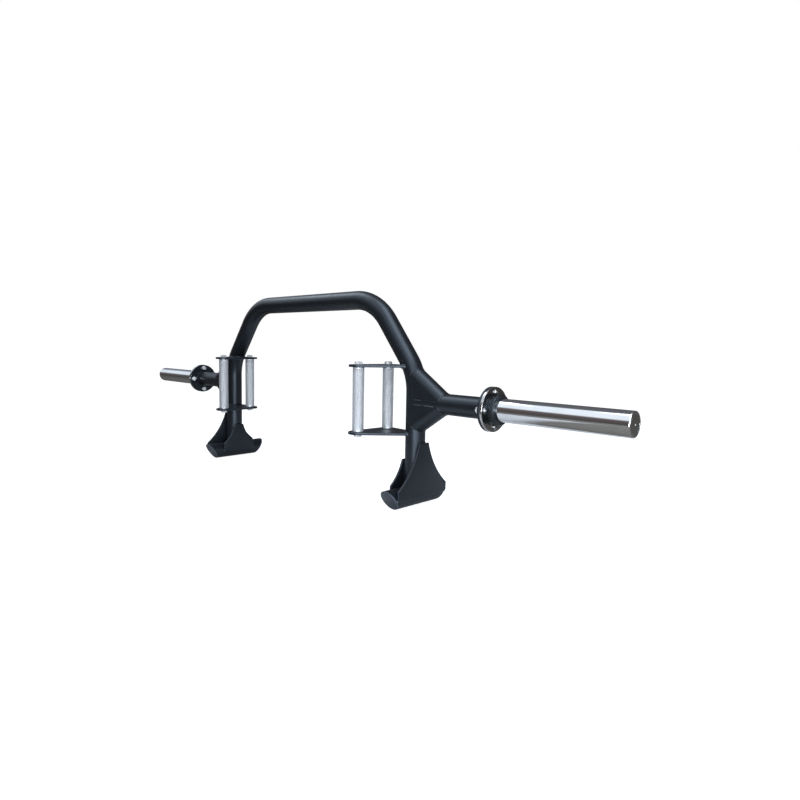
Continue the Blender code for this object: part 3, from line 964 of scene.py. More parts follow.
def path_frames(path: Sequence[Vector], closed: bool) -> list[Matrix]:
    """Give a place and direction at each point of a path, turning as little as possible.

    Args:
        path: The points.
        closed: Whether it runs back to its first point.

    Returns:
        A matrix for each point, its +Z along the path.
    """
    count = len(path)
    turns: list[Quaternion] = []
    for index in range(count + closed):
        if closed:
            along = path[(index + 1) % count] - path[(index - 1) % count]
        else:
            along = path[min(index + 1, count - 1)] - path[max(index - 1, 0)]
        if turns:
            turns.append((turns[-1] @ UP).rotation_difference(along) @ turns[-1])
        else:
            turns.append(along.to_track_quat("Z", "Y"))
    twist = 0.0
    if closed:
        left_over = turns[0].inverted() @ turns.pop()
        twist = (2.0 * math.atan2(left_over.z, left_over.w) + math.pi) % math.tau - math.pi
    frames = []
    for index, (point, turn) in enumerate(zip(path, turns)):
        untwist = Matrix.Rotation(-twist * index / count, 4, "Z")
        frames.append(Matrix.Translation(point) @ turn.to_matrix().to_4x4() @ untwist)
    return frames


def evenly(path: Sequence[Vector], step: float, closed: bool) -> list[Vector]:
    """Space the points of a path evenly.

    Args:
        path: The points.
        step: Distance that they should have.
        closed: Whether the path runs back to its first point.

    Returns:
        The new points.
    """
    line = [*path, path[0]] if closed else list(path)
    lengths = [(end - start).length for start, end in zip(line, line[1:])]
    count = max(4, round(sum(lengths) / step))
    goals = [sum(lengths) * index / count for index in range(count if closed else count + 1)]
    spaced, index, passed = [], 0, 0.0
    for goal in goals:
        while index < len(lengths) - 1 and passed + lengths[index] < goal:
            passed += lengths[index]
            index += 1
        share = min(1.0, (goal - passed) / max(lengths[index], 1e-9))
        spaced.append(line[index].lerp(line[index + 1], share))
    return spaced


@dataclass(frozen=True)
class WeldBead:
    """A weld run: a low bead whose ripples follow each other along the seam."""

    radius: float
    pitch: float = 0.0021
    ripple: float = 0.10
    rings_per_ripple: int = 4
    ripples_to_end: float = 1.2
    sides: int = 9

    def lay(self, work: Workpiece, seam: Sequence[Vector], closed: bool = False) -> None:
        """Lay the bead along a seam.

        Args:
            work: The workpiece that it belongs to.
            seam: The points of the seam.
            closed: Whether the seam runs back to its first point.
        """
        path = evenly(seam, self.pitch / self.rings_per_ripple, closed)
        radii = []
        for index in range(len(path)):
            phase = index % self.rings_per_ripple / self.rings_per_ripple
            radius = self.radius * (1.0 - self.ripple * phase)
            if not closed:
                to_end = min(index, len(path) - 1 - index) / (self.rings_per_ripple * self.ripples_to_end)
                radius *= math.sin(min(1.0, to_end) * math.pi / 2)
            radii.append(radius)
        work.sweep(path, radii, self.sides, closed)


# The bar


@dataclass(frozen=True)
class FrameLines:
    """Sizes that several sub-assemblies share, and the lines that they are set out on."""

    middle_y: float
    tube_radius: float = 0.02415
    leg_x: float = 0.413
    shoulder_x: float = 0.270
    arch_height: float = 0.497
    knee_height: float = 0.316
    knee_radius: float = 0.120
    knee_points: int = 13
    shoulder_radius: float = 0.145
    sleeve_height: float = 0.251
    arm_end_x: float = 0.626
    flange_thickness: float = 0.006
    gap: float = 0.0003

    @property
    def slope_angle(self) -> float:
        """Angle between the upright leg and the slanted part of the arch."""
        return math.atan2(self.leg_x - self.shoulder_x, self.arch_height - self.knee_height)

    @property
    def knee_start(self) -> float:
        """Height at which the upright leg ends and the knee's bend begins."""
        return self.knee_height - self.knee_radius * math.tan(self.slope_angle / 2)

    @property
    def sleeve_start_x(self) -> float:
        """Where the sleeve meets its flange."""
        return self.arm_end_x + 2 * (self.flange_thickness + self.gap)

    def at(self, side: Side, x: float, y: float, z: float) -> Vector:
        """Give a point by its distance from the bar's middle and the arch's plane, and its height."""
        return Vector((side.value * x, self.middle_y + y, z))

    def leg_pipe(self, side: Side) -> Pipe:
        """Give the leg and the slanted part of the arch at a side.

        Args:
            side: The side.

        Returns:
            The pipe, from the floor up.
        """
        points = [self.at(side, self.leg_x, 0.0, 0.0)]
        for angle in steps_between(0.0, self.slope_angle, self.knee_points):
            x = self.leg_x - self.knee_radius * (1 - math.cos(angle))
            points.append(self.at(side, x, 0.0, self.knee_start + self.knee_radius * math.sin(angle)))
        points.append(self.at(side, self.shoulder_x, 0.0, self.arch_height))
        return Pipe(tuple(points), self.tube_radius)

    def leg_axis_x(self, height: float) -> float:
        """Find how far the leg's axis is from the middle of the bar at a height.

        Args:
            height: The height.

        Returns:
            The distance.
        """
        points = self.leg_pipe(Side.RIGHT).path
        for start, end in zip(points, points[1:]):
            if start.z <= height <= end.z:
                return start.lerp(end, (height - start.z) / (end.z - start.z)).x
        return self.leg_x

    def arm_pipe(self, side: Side) -> Pipe:
        """Give the level arm at a side, from the leg out."""
        ends = [self.at(side, x, 0.0, self.sleeve_height) for x in (self.leg_x, self.arm_end_x)]
        return Pipe(tuple(ends), self.tube_radius)


@dataclass
class Arch:
    """The bent tube from foot to foot."""

    lines: FrameLines
    bottom: float = 0.036
    sides: int = 72
    knee_steps: int = 14
    shoulder_steps: int = 22
    merge_distance: float = 0.0001

    def build(self) -> list[Piece]:
        """Build the right half of the arch and mirror it.

        Returns:
            The piece.
        """
        lines, work = self.lines, Workpiece()
        slope, turn = lines.slope_angle, math.pi / 2 - lines.slope_angle
        axis = Vector((0.0, -1.0, 0.0))
        foot = lines.at(Side.RIGHT, lines.leg_x, 0.0, self.bottom)
        knee = Vector((foot.x, foot.y, lines.knee_start))
        corner = Vector((lines.leg_x, foot.y, lines.knee_height))
        shoulder = Vector((lines.shoulder_x, foot.y, lines.arch_height))
        shoulder_reach = lines.shoulder_radius * math.tan(turn / 2)
        straight = (shoulder - corner).length - lines.knee_radius * math.tan(slope / 2) - shoulder_reach
        top = shoulder - Vector((shoulder_reach, 0.0, 0.0))
        ring = work.ring(lines.tube_radius, self.sides, Matrix.Translation(foot))
        ring = work.extrude(ring, knee - foot)
        ring = work.spin(ring, knee - Vector((lines.knee_radius, 0.0, 0.0)), axis, slope, self.knee_steps)
        ring = work.extrude(ring, Vector((-math.sin(slope), 0.0, math.cos(slope))) * straight)
        ring = work.spin(ring, top - UP * lines.shoulder_radius, axis, turn, self.shoulder_steps)
        work.extrude(ring, Vector((-top.x, 0.0, 0.0)))
        bmesh.ops.mirror(
            work.shape,
            geom=work.geometry,
            matrix=Matrix.Identity(4),
            merge_dist=self.merge_distance,
            axis="X",
        )
        return [work.piece("arch_pipe", COAT, ["arch_tube"])]


@dataclass
class SideAssembly:
    """What the sub-assemblies of one side of the bar share."""

    lines: FrameLines
    side: Side

    def at(self, x: float, y: float, z: float) -> Vector:
        """Give a point by its distance from the bar's middle and the arch's plane, and its height."""
        return self.lines.at(self.side, x, y, z)

    def dress(
        self, work: Workpiece, name: str, finish: Finish, solid: str = "", crease: float = CREASE
    ) -> Piece:
        """Finish a piece of this side.

        Args:
            work: The workpiece.
            name: Name of the piece without its side.
            finish: Its finish.
            solid: Name of the solid that it replaces, without its side, if it replaces one.
            crease: Angle in degrees above which an edge is sharp.

        Returns:
            The piece's object.
        """
        solids = [f"{solid}_{self.side.tag}"] if solid else []
        return work.piece(f"{name}_{self.side.tag}", finish, solids, crease)


@dataclass
class SideArm(SideAssembly):
    """The level arm of a side with its braces, web plates and their welds."""

    brace_radius: float = 0.0235
    brace_rise: float = 0.059
    brace_run: float = 0.088
    web_offset: float = 0.0234
    web_thickness: float = 0.004
    sides: int = 64
    joint_bead: WeldBead = WeldBead(0.0016)
    open_side: float = 0.001
    fewest_points: int = 8
    flange_bead_back: float = 0.0012
    flange_bead_lift: float = 0.0006
    flange_bead_points: int = 73
    seam_bead: WeldBead = WeldBead(0.0008, ripple=0.05)
    seam_depth: float = 0.0003
    lower_seams: tuple[tuple[float, float], ...] = ((0.10, 0.42), (0.52, 0.94))
    upper_seams: tuple[tuple[float, float], ...] = ((0.10, 0.40), (0.92, 0.98))

    def build(self) -> list[Piece]:
        """Build the arm, its braces, webs and welds."""
        return [self.arm(), *self.braces(), *self.webs(), self.joint_welds(), self.seam_welds()]

    def brace_axis(self, level: Level) -> tuple[Vector, Vector]:
        """Give the ends of a brace's axis.

        Args:
            level: The upper or the lower brace.

        Returns:
            The ends at the leg and at the arm.
        """
        leg_x, height = self.lines.leg_x, self.lines.sleeve_height
        at_leg = self.at(leg_x, 0.0, height + level.value * self.brace_rise)
        return at_leg, self.at(leg_x + self.brace_run, 0.0, height)

    def arm(self) -> Piece:
        """Build the level tube.

        Returns:
            The piece.
        """
        (start, end), work = self.lines.arm_pipe(self.side).path, Workpiece()
        work.rod(self.lines.tube_radius, start, end - self.side.outward * self.lines.gap, self.sides)
        return self.dress(work, "arm_pipe", COAT, "arm_tube")

    def braces(self) -> list[Piece]:
        """Build the two slanted tubes.

        Returns:
            The pieces.
        """
        made = []
        for level in Level:
            work = Workpiece()
            work.rod(self.brace_radius, *self.brace_axis(level), self.sides)
            made.append(self.dress(work, f"{level.tag}_brace_pipe", COAT, f"{level.tag}_brace"))
        return made

    def webs(self) -> list[Piece]:
        """Build the four thin plates between the tubes, each out to the axes of its three tubes.

        Returns:
            The pieces.
        """
        made = []
        for level in Level:
            at_leg, at_arm = self.brace_axis(level)
            corners = (self.at(self.lines.leg_x, 0.0, self.lines.sleeve_height), at_arm, at_leg)
            for face, away in (("front", -1), ("back", 1)):
                work = Workpiece()
                inside = Vector((0.0, away * (self.web_offset - self.web_thickness), 0.0))
                work.plate(corners, inside, Vector((0.0, away * self.web_offset, 0.0)))
                web = f"{level.tag}_{face}_web"
                made.append(self.dress(work, f"{web}_plate", COAT, web))
        return made

    def joint_welds(self) -> Piece:
        """Build the welds round the joints of the tubes.

        Returns:
            The piece.
        """
        arm, work = self.lines.arm_pipe(self.side), Workpiece()
        for level in Level:
            at_leg, at_arm = self.brace_axis(level)
            for end, run in ((at_leg, self.lines.leg_pipe(self.side)), (at_arm, arm)):
                seam = Pipe((end, at_leg.lerp(at_arm, 0.5)), self.brace_radius).outline_on(run)
                shown = [point is not None and self.outside_web(point, level) for point in seam[:-1]]
                if sum(shown) > self.fewest_points:
                    self.joint_bead.lay(work, self.in_one_run(seam, shown))
        centre = arm.path[1] - self.side.outward * self.flange_bead_back
        turns = steps_between(0.0, math.tau, self.flange_bead_points)[:-1]
        spokes = [Vector((0.0, math.cos(turn), math.sin(turn))) for turn in turns]
        ring = [centre + spoke * (arm.radius + self.flange_bead_lift) for spoke in spokes]
        self.joint_bead.lay(work, ring, closed=True)
        return self.dress(work, "joint_welds", WELD_COAT, crease=WELD_CREASE)

    def outside_web(self, point: Vector, level: Level) -> bool:
        """Tell whether a point of a brace's joint is on the open side, away from the webs.

        Args:
            point: The point.
            level: The upper or the lower brace.

        Returns:
            True if it shows.
        """
        at_leg, at_arm = self.brace_axis(level)
        along = (at_arm - at_leg).normalized()
        away = UP * float(level.value)
        away = (away - along * away.dot(along)).normalized()
        return (point - at_leg).dot(away) > self.open_side

    @staticmethod
    def in_one_run(seam: Sequence[Vector], shown: Sequence[bool]) -> list[Vector]:
        """Put the points of a closed seam that show in one run.

        Args:
            seam: The points round the seam.
            shown: For each point whether it shows.

        Returns:
            The points that show, beginning after the part that is left out.
        """
        start = 0
        for index, shows in enumerate(shown):
            if shows and not shown[index - 1]:
                start = index
        order = [*range(start, len(shown)), *range(start)]
        return [seam[index] for index in order if shown[index]]

    def seam_welds(self) -> Piece:
        """Build the fine welds along the web plates' edges on the arm.

        Returns:
            The piece.
        """
        lines, work = self.lines, Workpiece()
        off_arm = math.sqrt(lines.tube_radius**2 - self.web_offset**2)
        start = lines.leg_x + off_arm
        run = self.brace_run - off_arm - off_arm / (self.brace_rise / self.brace_run)
        for level, parts in ((Level.LOWER, self.lower_seams), (Level.UPPER, self.upper_seams)):
            arm_edge = lines.sleeve_height + level.value * off_arm
            for away in (-1, 1):
                y = away * (self.web_offset - self.seam_depth)
                for part in parts:
                    self.seam_bead.lay(work, [self.at(start + run * along, y, arm_edge) for along in part])
        # The seam beads use the coat that is lightened as a painted highlight.
        return self.dress(work, "seam_welds", TACK_COAT_WITH_PAINTED_HIGHLIGHT, crease=WELD_CREASE)


def hex_prism(across_flats: float, height: float, both_ends: bool) -> list[tuple[Outline, Outline]]:
    """Give the rings of a hexagon head or nut with chamfered corners.

    Args:
        across_flats: Its width over two flats.
        height: Its height.
        both_ends: Whether the seat is chamfered too.

    Returns:
        The rings for a stack.
    """
    outline = hexagon(across_flats)
    face_radius = across_flats / 2 * 0.94
    slope = math.tan(math.radians(30))

    def drop(angle: float) -> float:
        """Give how far the chamfer's edge is below the face."""
        return (outline(angle) - face_radius) * slope

    seat = [(circle(face_radius), circle(0.0)), (outline, drop)] if both_ends else [(outline, circle(0.0))]
    return [*seat, (outline, lambda angle: height - drop(angle)), (circle(face_radius), circle(height))]


@dataclass
class FlangePair(SideAssembly):
    """The two round flanges of a side and the bolts that hold them together."""

    radius: float = 0.0485
    frame_rim: float = 0.0012
    sleeve_rim: float = 0.0011
    bolt_circle: float = 0.0375
    bolt_count: int = 4
    bolt_radius: float = 0.004
    head_radius: float = 0.0062
    head_height: float = 0.0044
    head_chamfer: float = 0.0003
    dome_start: float = 0.0004
    dome_angle: float = 1.12
    dome_rings: int = 8
    socket_width: float = 0.0042
    socket_depth: float = 0.0022
    drill_shares: tuple[float, float] = (0.3, 0.05)
    drill_depth: float = 0.0004
    nut_width: float = 0.013
    nut_height: float = 0.0068
    tip: float = 0.002
    tip_in_nut: float = 0.001
    tip_steps: int = 24
    thread_turns: int = 2
    thread_pitch: float = 0.0006
    thread_crest: float = 0.0002
    thread_root: float = 0.0005
    thread_depth: float = 0.0004

    def build(self) -> list[Piece]:
        """Build the flanges and their bolts."""
        return [*self.discs(), *self.bolts()]

    def discs(self) -> list[Piece]:
        """Build the black flange of the frame and the chromed flange of the sleeve.

        Returns:
            The pieces.
        """
        lines, made = self.lines, []
        thick = lines.flange_thickness
        second_x = lines.arm_end_x + thick + lines.gap
        for owner, x, finish, fillet in (
            ("frame", lines.arm_end_x, COAT, self.frame_rim),
            ("sleeve", second_x, FLANGE_CHROME, self.sleeve_rim),
        ):
            work = Workpiece()
            rims = [Corner(self.radius, thick, fillet), Corner(self.radius, 0.0, fillet)]
            place = stand_at(self.at(x, 0.0, lines.sleeve_height), self.side.outward)
            work.turned([Corner(0.0, thick), *rims, Corner(0.0, 0.0)], TURN_SIDES, place)
            made.append(self.dress(work, f"{owner}_flange_disc", finish, f"{owner}_flange"))
        return made

    def bolts(self) -> list[Piece]:
        """Build the button-head bolts and their nuts.

        Returns:
            The pieces.
        """
        lines, made = self.lines, []
        for index in range(self.bolt_count):
            angle = math.tau * index / self.bolt_count
            y, z = self.bolt_circle * math.cos(angle), self.bolt_circle * math.sin(angle)
            seat = self.at(lines.sleeve_start_x, y, lines.sleeve_height + z)
            tag = f"{self.side.tag}_{index + 1}"
            screw, nut = Workpiece(), Workpiece()
            self.button_head(screw, seat)
            made.append(screw.piece(f"flange_screw_{tag}", SCREW_STEEL, [f"flange_bolt_{tag}"]))
            self.nut_and_tip(nut, seat)
            made.append(nut.piece(f"flange_nut_{tag}", BOLT_ZINC))
        return made

    def button_head(self, work: Workpiece, seat: Vector) -> None:
        """Add a domed head with its hexagon socket.

        Args:
            work: The workpiece.
            seat: Where the head sits on the flange.
        """
        low, high = self.dome_start, self.head_height
        rings = [(circle(self.head_radius - self.head_chamfer), circle(0.0))]
        for angle in steps_between(0.0, self.dome_angle, self.dome_rings):
            height = low + (high - low) * math.sin(angle) / math.sin(self.dome_angle)
            rings.append((circle(self.head_radius * math.cos(angle)), circle(height)))
        socket, floor = hexagon(self.socket_width), high - self.socket_depth
        wide, narrow = (circle(self.socket_width * share) for share in self.drill_shares)
        rings += [(socket, circle(high)), (socket, circle(floor)), (wide, circle(floor))]
        rings.append((narrow, circle(floor - self.drill_depth)))
        work.stack(rings, stand_at(seat, self.side.outward))

    def nut_and_tip(self, work: Workpiece, seat: Vector) -> None:
        """Add the chamfered nut and the threaded end of the bolt that stands out of it.

        Args:
            work: The workpiece.
            seat: Where the bolt's head sits on the other flange.
        """
        grip = self.lines.sleeve_start_x - self.lines.arm_end_x + self.lines.gap
        place = stand_at(seat - self.side.outward * grip, -self.side.outward)
        work.stack(hex_prism(self.nut_width, self.nut_height, True), place)
        radius, pitch, end = self.bolt_radius, self.thread_pitch, self.nut_height + self.tip
        corners = [Corner(0.0, end), Corner(radius - pitch, end), Corner(radius, end - pitch)]
        for turn in range(self.thread_turns):
            height = end - pitch - pitch * turn
            corners.append(Corner(radius, height - self.thread_crest))
            corners.append(Corner(radius - self.thread_depth, height - self.thread_root))
        inside = self.nut_height - self.tip_in_nut
        corners += [Corner(radius, inside), Corner(0.0, inside)]
        work.turned(corners, self.tip_steps, place)


@dataclass
class LoadingSleeve(SideAssembly):
    """The chromed sleeve of a side with its closed end and the rubber ring at its foot."""

    radius: float = 0.025
    wall: float = 0.0045
    length: float = 0.297
    end_rounding: float = 0.0022
    bore_rounding: float = 0.00025
    plug_gap: float = 0.0001
    plug_length: float = 0.012
    plug_sides: int = 72
    centre_hole: float = 0.002
    centre_rounding: float = 0.0003
    ring_gap: float = 0.0002
    ring_length: float = 0.017
    ring_radius: float = 0.0335
    ring_rounding: float = 0.0042
    ring_bore_rounding: float = 0.0012
    ring_seat_radius: float = 0.030
    ring_seat_length: float = 0.0057
    ring_seat_rounding: float = 0.0004
    groove_count: int = 3
    groove_depth: float = 0.0006
    groove_half_width: float = 0.0004
    groove_rounding: float = 0.0001
    first_groove: float = 0.0052
    last_groove: float = 0.0008

    def build(self) -> list[Piece]:
        """Build the sleeve, its end plug and the ring."""
        return [self.sleeve(), self.plug(), self.ring()]

    @property
    def place(self) -> Matrix:
        """Where the sleeve starts, +Z outwards."""
        lines = self.lines
        return stand_at(self.at(lines.sleeve_start_x, 0.0, lines.sleeve_height), self.side.outward)

    def sleeve(self) -> Piece:
        """Build the tube.

        Returns:
            The piece.
        """
        work, bore = Workpiece(), self.radius - self.wall
        corners = [
            Corner(bore, self.length, self.bore_rounding),
            Corner(self.radius, self.length, self.end_rounding),
            Corner(self.radius, 0.0),
            Corner(bore, 0.0),
        ]
        work.turned(corners, TURN_SIDES, self.place, closed=True)
        return self.dress(work, "loading_sleeve", SLEEVE_CHROME, "sleeve")

    def plug(self) -> Piece:
        """Build the plug that closes the end, with its centre mark.

        Returns:
            The piece.
        """
        work, radius = Workpiece(), self.radius - self.wall - self.plug_gap
        face, back = self.length - self.plug_gap, self.length - self.plug_length
        corners = [
            Corner(0.0, self.length - self.centre_hole),
            Corner(self.centre_hole, face, self.centre_rounding),
            Corner(radius, face, self.bore_rounding),
            Corner(radius, back),
            Corner(0.0, back),
        ]
        work.turned(corners, self.plug_sides, self.place)
        return self.dress(work, "sleeve_end", SLEEVE_CHROME, "sleeve_plug")

    def ring(self) -> Piece:
        """Build the rubber ring that plates rest against, with its grooves.

        Returns:
            The piece.
        """
        work, bore, gap = Workpiece(), self.radius + self.ring_gap, self.lines.gap
        wide, seat, fillet = self.ring_radius, self.ring_seat_radius, self.groove_rounding
        shoulder = self.ring_seat_length + (wide - seat)
        first, last = self.ring_length - self.first_groove, shoulder + self.last_groove
        corners = [Corner(bore, self.ring_length, self.ring_bore_rounding)]
        corners.append(Corner(wide, self.ring_length, self.ring_rounding))
        for height in steps_between(first, last, self.groove_count):
            corners += [
                Corner(wide, height + self.groove_half_width, fillet),
                Corner(wide - self.groove_depth, height, fillet),
                Corner(wide, height - self.groove_half_width, fillet),
            ]
        corners += [
            Corner(wide, shoulder, self.ring_seat_rounding),
            Corner(seat, self.ring_seat_length, self.ring_seat_rounding),
            Corner(seat, gap),
            Corner(bore, gap),
        ]
        work.turned(corners, TURN_SIDES, self.place, closed=True)
        return self.dress(work, "rubber_ring", RING_RUBBER, "plate_stop")


@dataclass
class GripStation(SideAssembly):
    """The two upright hand grips of a side, their bracket plates, bolts and welds."""

    grip_radius: float = 0.01375
    grip_length: float = 0.154
    middle_height: float = 0.2525
    plate_thickness: float = 0.006
    plate_rounding: float = 0.0013
    level_within: float = 0.00001
    plate_sides: int = 72
    lobe_radius: float = 0.0235
    root_radius: float = 0.0155
    head_width: float = 0.017
    head_height: float = 0.0064
    end_chamfer: float = 0.001
    knurl_depth: float = 0.00020
    knurls_round: int = 50
    plain_end: float = 0.0035
    knurl_run_out: float = 0.0008
    grip_crease: float = 12.0
    bead: WeldBead = WeldBead(0.0023)
    bead_lift: float = 0.0004
    weld_from: float = -66.0
    weld_to: float = 140.0
    weld_points: int = 55
    weld_reach: float = 0.05
    outline_points: int = 73
    outline_margin: float = 0.0005

    @property
    def bottom(self) -> float:
        """Height of the grips' lower end."""
        return self.middle_height - self.grip_length / 2

    @property
    def top(self) -> float:
        """Height of the grips' upper end."""
        return self.middle_height + self.grip_length / 2

    def build(self) -> list[Piece]:
        """Build the grips, plates, bolts and welds."""
        return [*self.plates(), *self.grips(), *self.bolts(), self.welds()]

    def grip_place(self, row: Row, height: float) -> Vector:
        """Give the point of a grip's axis at a height."""
        inset, y = row.value
        return self.at(self.lines.leg_x - inset, y, height)

    def leg_place(self, height: float) -> Vector:
        """Give the point of the leg's axis at a height."""
        return self.at(self.lines.leg_axis_x(height), 0.0, height)

    def plate_heights(self) -> dict[str, float]:
        """Give the middle height of each bracket plate by its name."""
        off = self.lines.gap + self.plate_thickness / 2
        return {"bottom": self.bottom - off, "top": self.top + off}

    def plate_circles(self, height: float) -> list[tuple[Vector, float]]:
        """Give the circles that a bracket plate is drawn round, each as its middle and radius."""
        lobes = [(self.grip_place(row, height), self.lobe_radius) for row in Row]
        return [*lobes, (self.leg_place(height), self.root_radius)]

    def plates(self) -> list[Piece]:
        """Build the lobed plates above and below the grips.

        Returns:
            The pieces.
        """
        made = []
        for tier, height in self.plate_heights().items():
            work = Workpiece()
            shape = work.shape
            for centre, radius in self.plate_circles(height):
                bmesh.ops.create_cone(
                    shape,
                    cap_ends=True,
                    segments=self.plate_sides,
                    radius1=radius,
                    radius2=radius,
                    depth=self.plate_thickness,
                    matrix=Matrix.Translation(centre),
                )
            hull = bmesh.ops.convex_hull(shape, input=shape.verts[:], use_existing_faces=False)
            spare = [item for item in [*hull["geom_interior"], *hull["geom_unused"]] if item.is_valid]
            bmesh.ops.delete(shape, geom=list(dict.fromkeys(spare)), context="VERTS")
            flat = math.radians(1)
            bmesh.ops.dissolve_limit(shape, angle_limit=flat, verts=shape.verts[:], edges=shape.edges[:])
            ends = ((edge, edge.verts[0].co.z, edge.verts[1].co.z) for edge in shape.edges)
            ledges = [edge for edge, first, last in ends if abs(first - last) < self.level_within]
            work.round_edges(ledges, self.plate_rounding)
            made.append(self.dress(work, f"{tier}_bracket_plate", COAT, f"{tier}_bracket"))
        return made

    def grips(self) -> list[Piece]:
        """Build the knurled grips.

        Returns:
            The pieces.
        """
        made = []
        for row in Row:
            work = Workpiece()
            self.knurled_bar(work, self.grip_place(row, self.bottom))
            names = f"{row.tag}_grip", GRIP_STEEL, f"{row.tag}_handle"
            made.append(self.dress(work, *names, self.grip_crease))
        return made

    def knurled_bar(self, work: Workpiece, base: Vector) -> None:
        """Add an upright bar with a diamond knurl between two plain ends.

        Args:
            work: The workpiece.
            base: Middle of the bar's lower end.
        """
        columns = self.knurls_round * 2
        knurled = self.grip_length - 2 * self.plain_end
        rows = round(knurled / (math.tau * self.grip_radius / columns) / 2) * 2
        edge, radius = self.end_chamfer, self.grip_radius
        plain = [(0.0, 0.0), (radius - edge, 0.0), (radius, edge)]
        plain.append((radius, self.plain_end - self.knurl_run_out))
        rings = plain + [(radius, self.plain_end + knurled * row / rows) for row in range(rows + 1)]
        knurled_rings = range(len(plain), len(rings))
        rings += [(reach, self.grip_length - height) for reach, height in reversed(plain)]

        def in_groove(ring: int, side: int) -> bool:
            """Tell whether a vertex lies in a groove."""
            return ring in knurled_rings and (ring + side) % 2 == 1

        def at(ring: int, side: int) -> Vector:
            """Give a vertex of the bar."""
            reach, height = rings[ring]
            reach -= self.knurl_depth if in_groove(ring, side) else 0.0
            around = math.tau * side / columns
            return base + Vector((reach * math.cos(around), reach * math.sin(around), height))

        grooves = []
        for index, vert in enumerate(work.wrap(len(rings), columns, at)):
            ring, side = divmod(index, columns + 1)
            if in_groove(ring, side % columns):
                # Grooves are marked for the painted shade of the grip finish.
                vert[work.groove] = 1.0
                grooves.append(vert)
        bmesh.ops.connect_verts(work.shape, verts=grooves)

    def bolts(self) -> list[Piece]:
        """Build the hexagon heads at the ends of the grips.

        Returns:
            The pieces.
        """
        made = []
        stack = self.plate_thickness + 2 * self.lines.gap
        for row in Row:
            for end, height, up in (("bottom", self.bottom - stack, -1), ("top", self.top + stack, 1)):
                work = Workpiece()
                place = stand_at(self.grip_place(row, height), UP * up)
                work.stack(hex_prism(self.head_width, self.head_height, False), place)
                bolt = f"{row.tag}_{end}"
                made.append(self.dress(work, f"{bolt}_hex_bolt", BOLT_ZINC, f"{bolt}_bolt"))
        return made

    def welds(self) -> Piece:
        """Build the welds between the bracket plates and the leg.

        Returns:
            The piece.
        """
        work, leg = Workpiece(), self.lines.leg_pipe(self.side)
        first, last = math.radians(self.weld_from), math.radians(self.weld_to)
        for height in self.plate_heights().values():
            for off in (-1, 1):
                root = self.leg_place(height + off * self.plate_thickness / 2)
                seam = []
                for turn in steps_between(first, last, self.weld_points):
                    way = Vector((-self.side.value * math.cos(turn), -math.sin(turn), 0.0))
                    point = leg.meet(root + way * self.weld_reach, -way, self.weld_reach)
                    if point:
                        seam.append(point + UP * off * self.bead_lift)
                self.bead.lay(work, [point for point in seam if self.on_plate(point, height)])
        return self.dress(work, "bracket_welds", WELD_COAT, crease=WELD_CREASE)

    def on_plate(self, point: Vector, height: float) -> bool:
        """Tell whether a point lies within a bracket plate's outline.

        Args:
            point: The point.
            height: The plate's middle height.

        Returns:
            True if it does.
        """
        for angle in steps_between(0.0, math.tau, self.outline_points):
            way = Vector((math.cos(angle), math.sin(angle), 0.0))
            reach = max(centre.dot(way) + radius for centre, radius in self.plate_circles(height))
            if point.dot(way) > reach - self.outline_margin:
                return False
        return True


@dataclass(frozen=True)
class Cheek:
    """Sizes of a cheek plate, which flares from its top down to its shoulders."""

    name: str
    away: int
    height: float
    shoulder: float
    half_length: float
    half_top: float
    flare: float


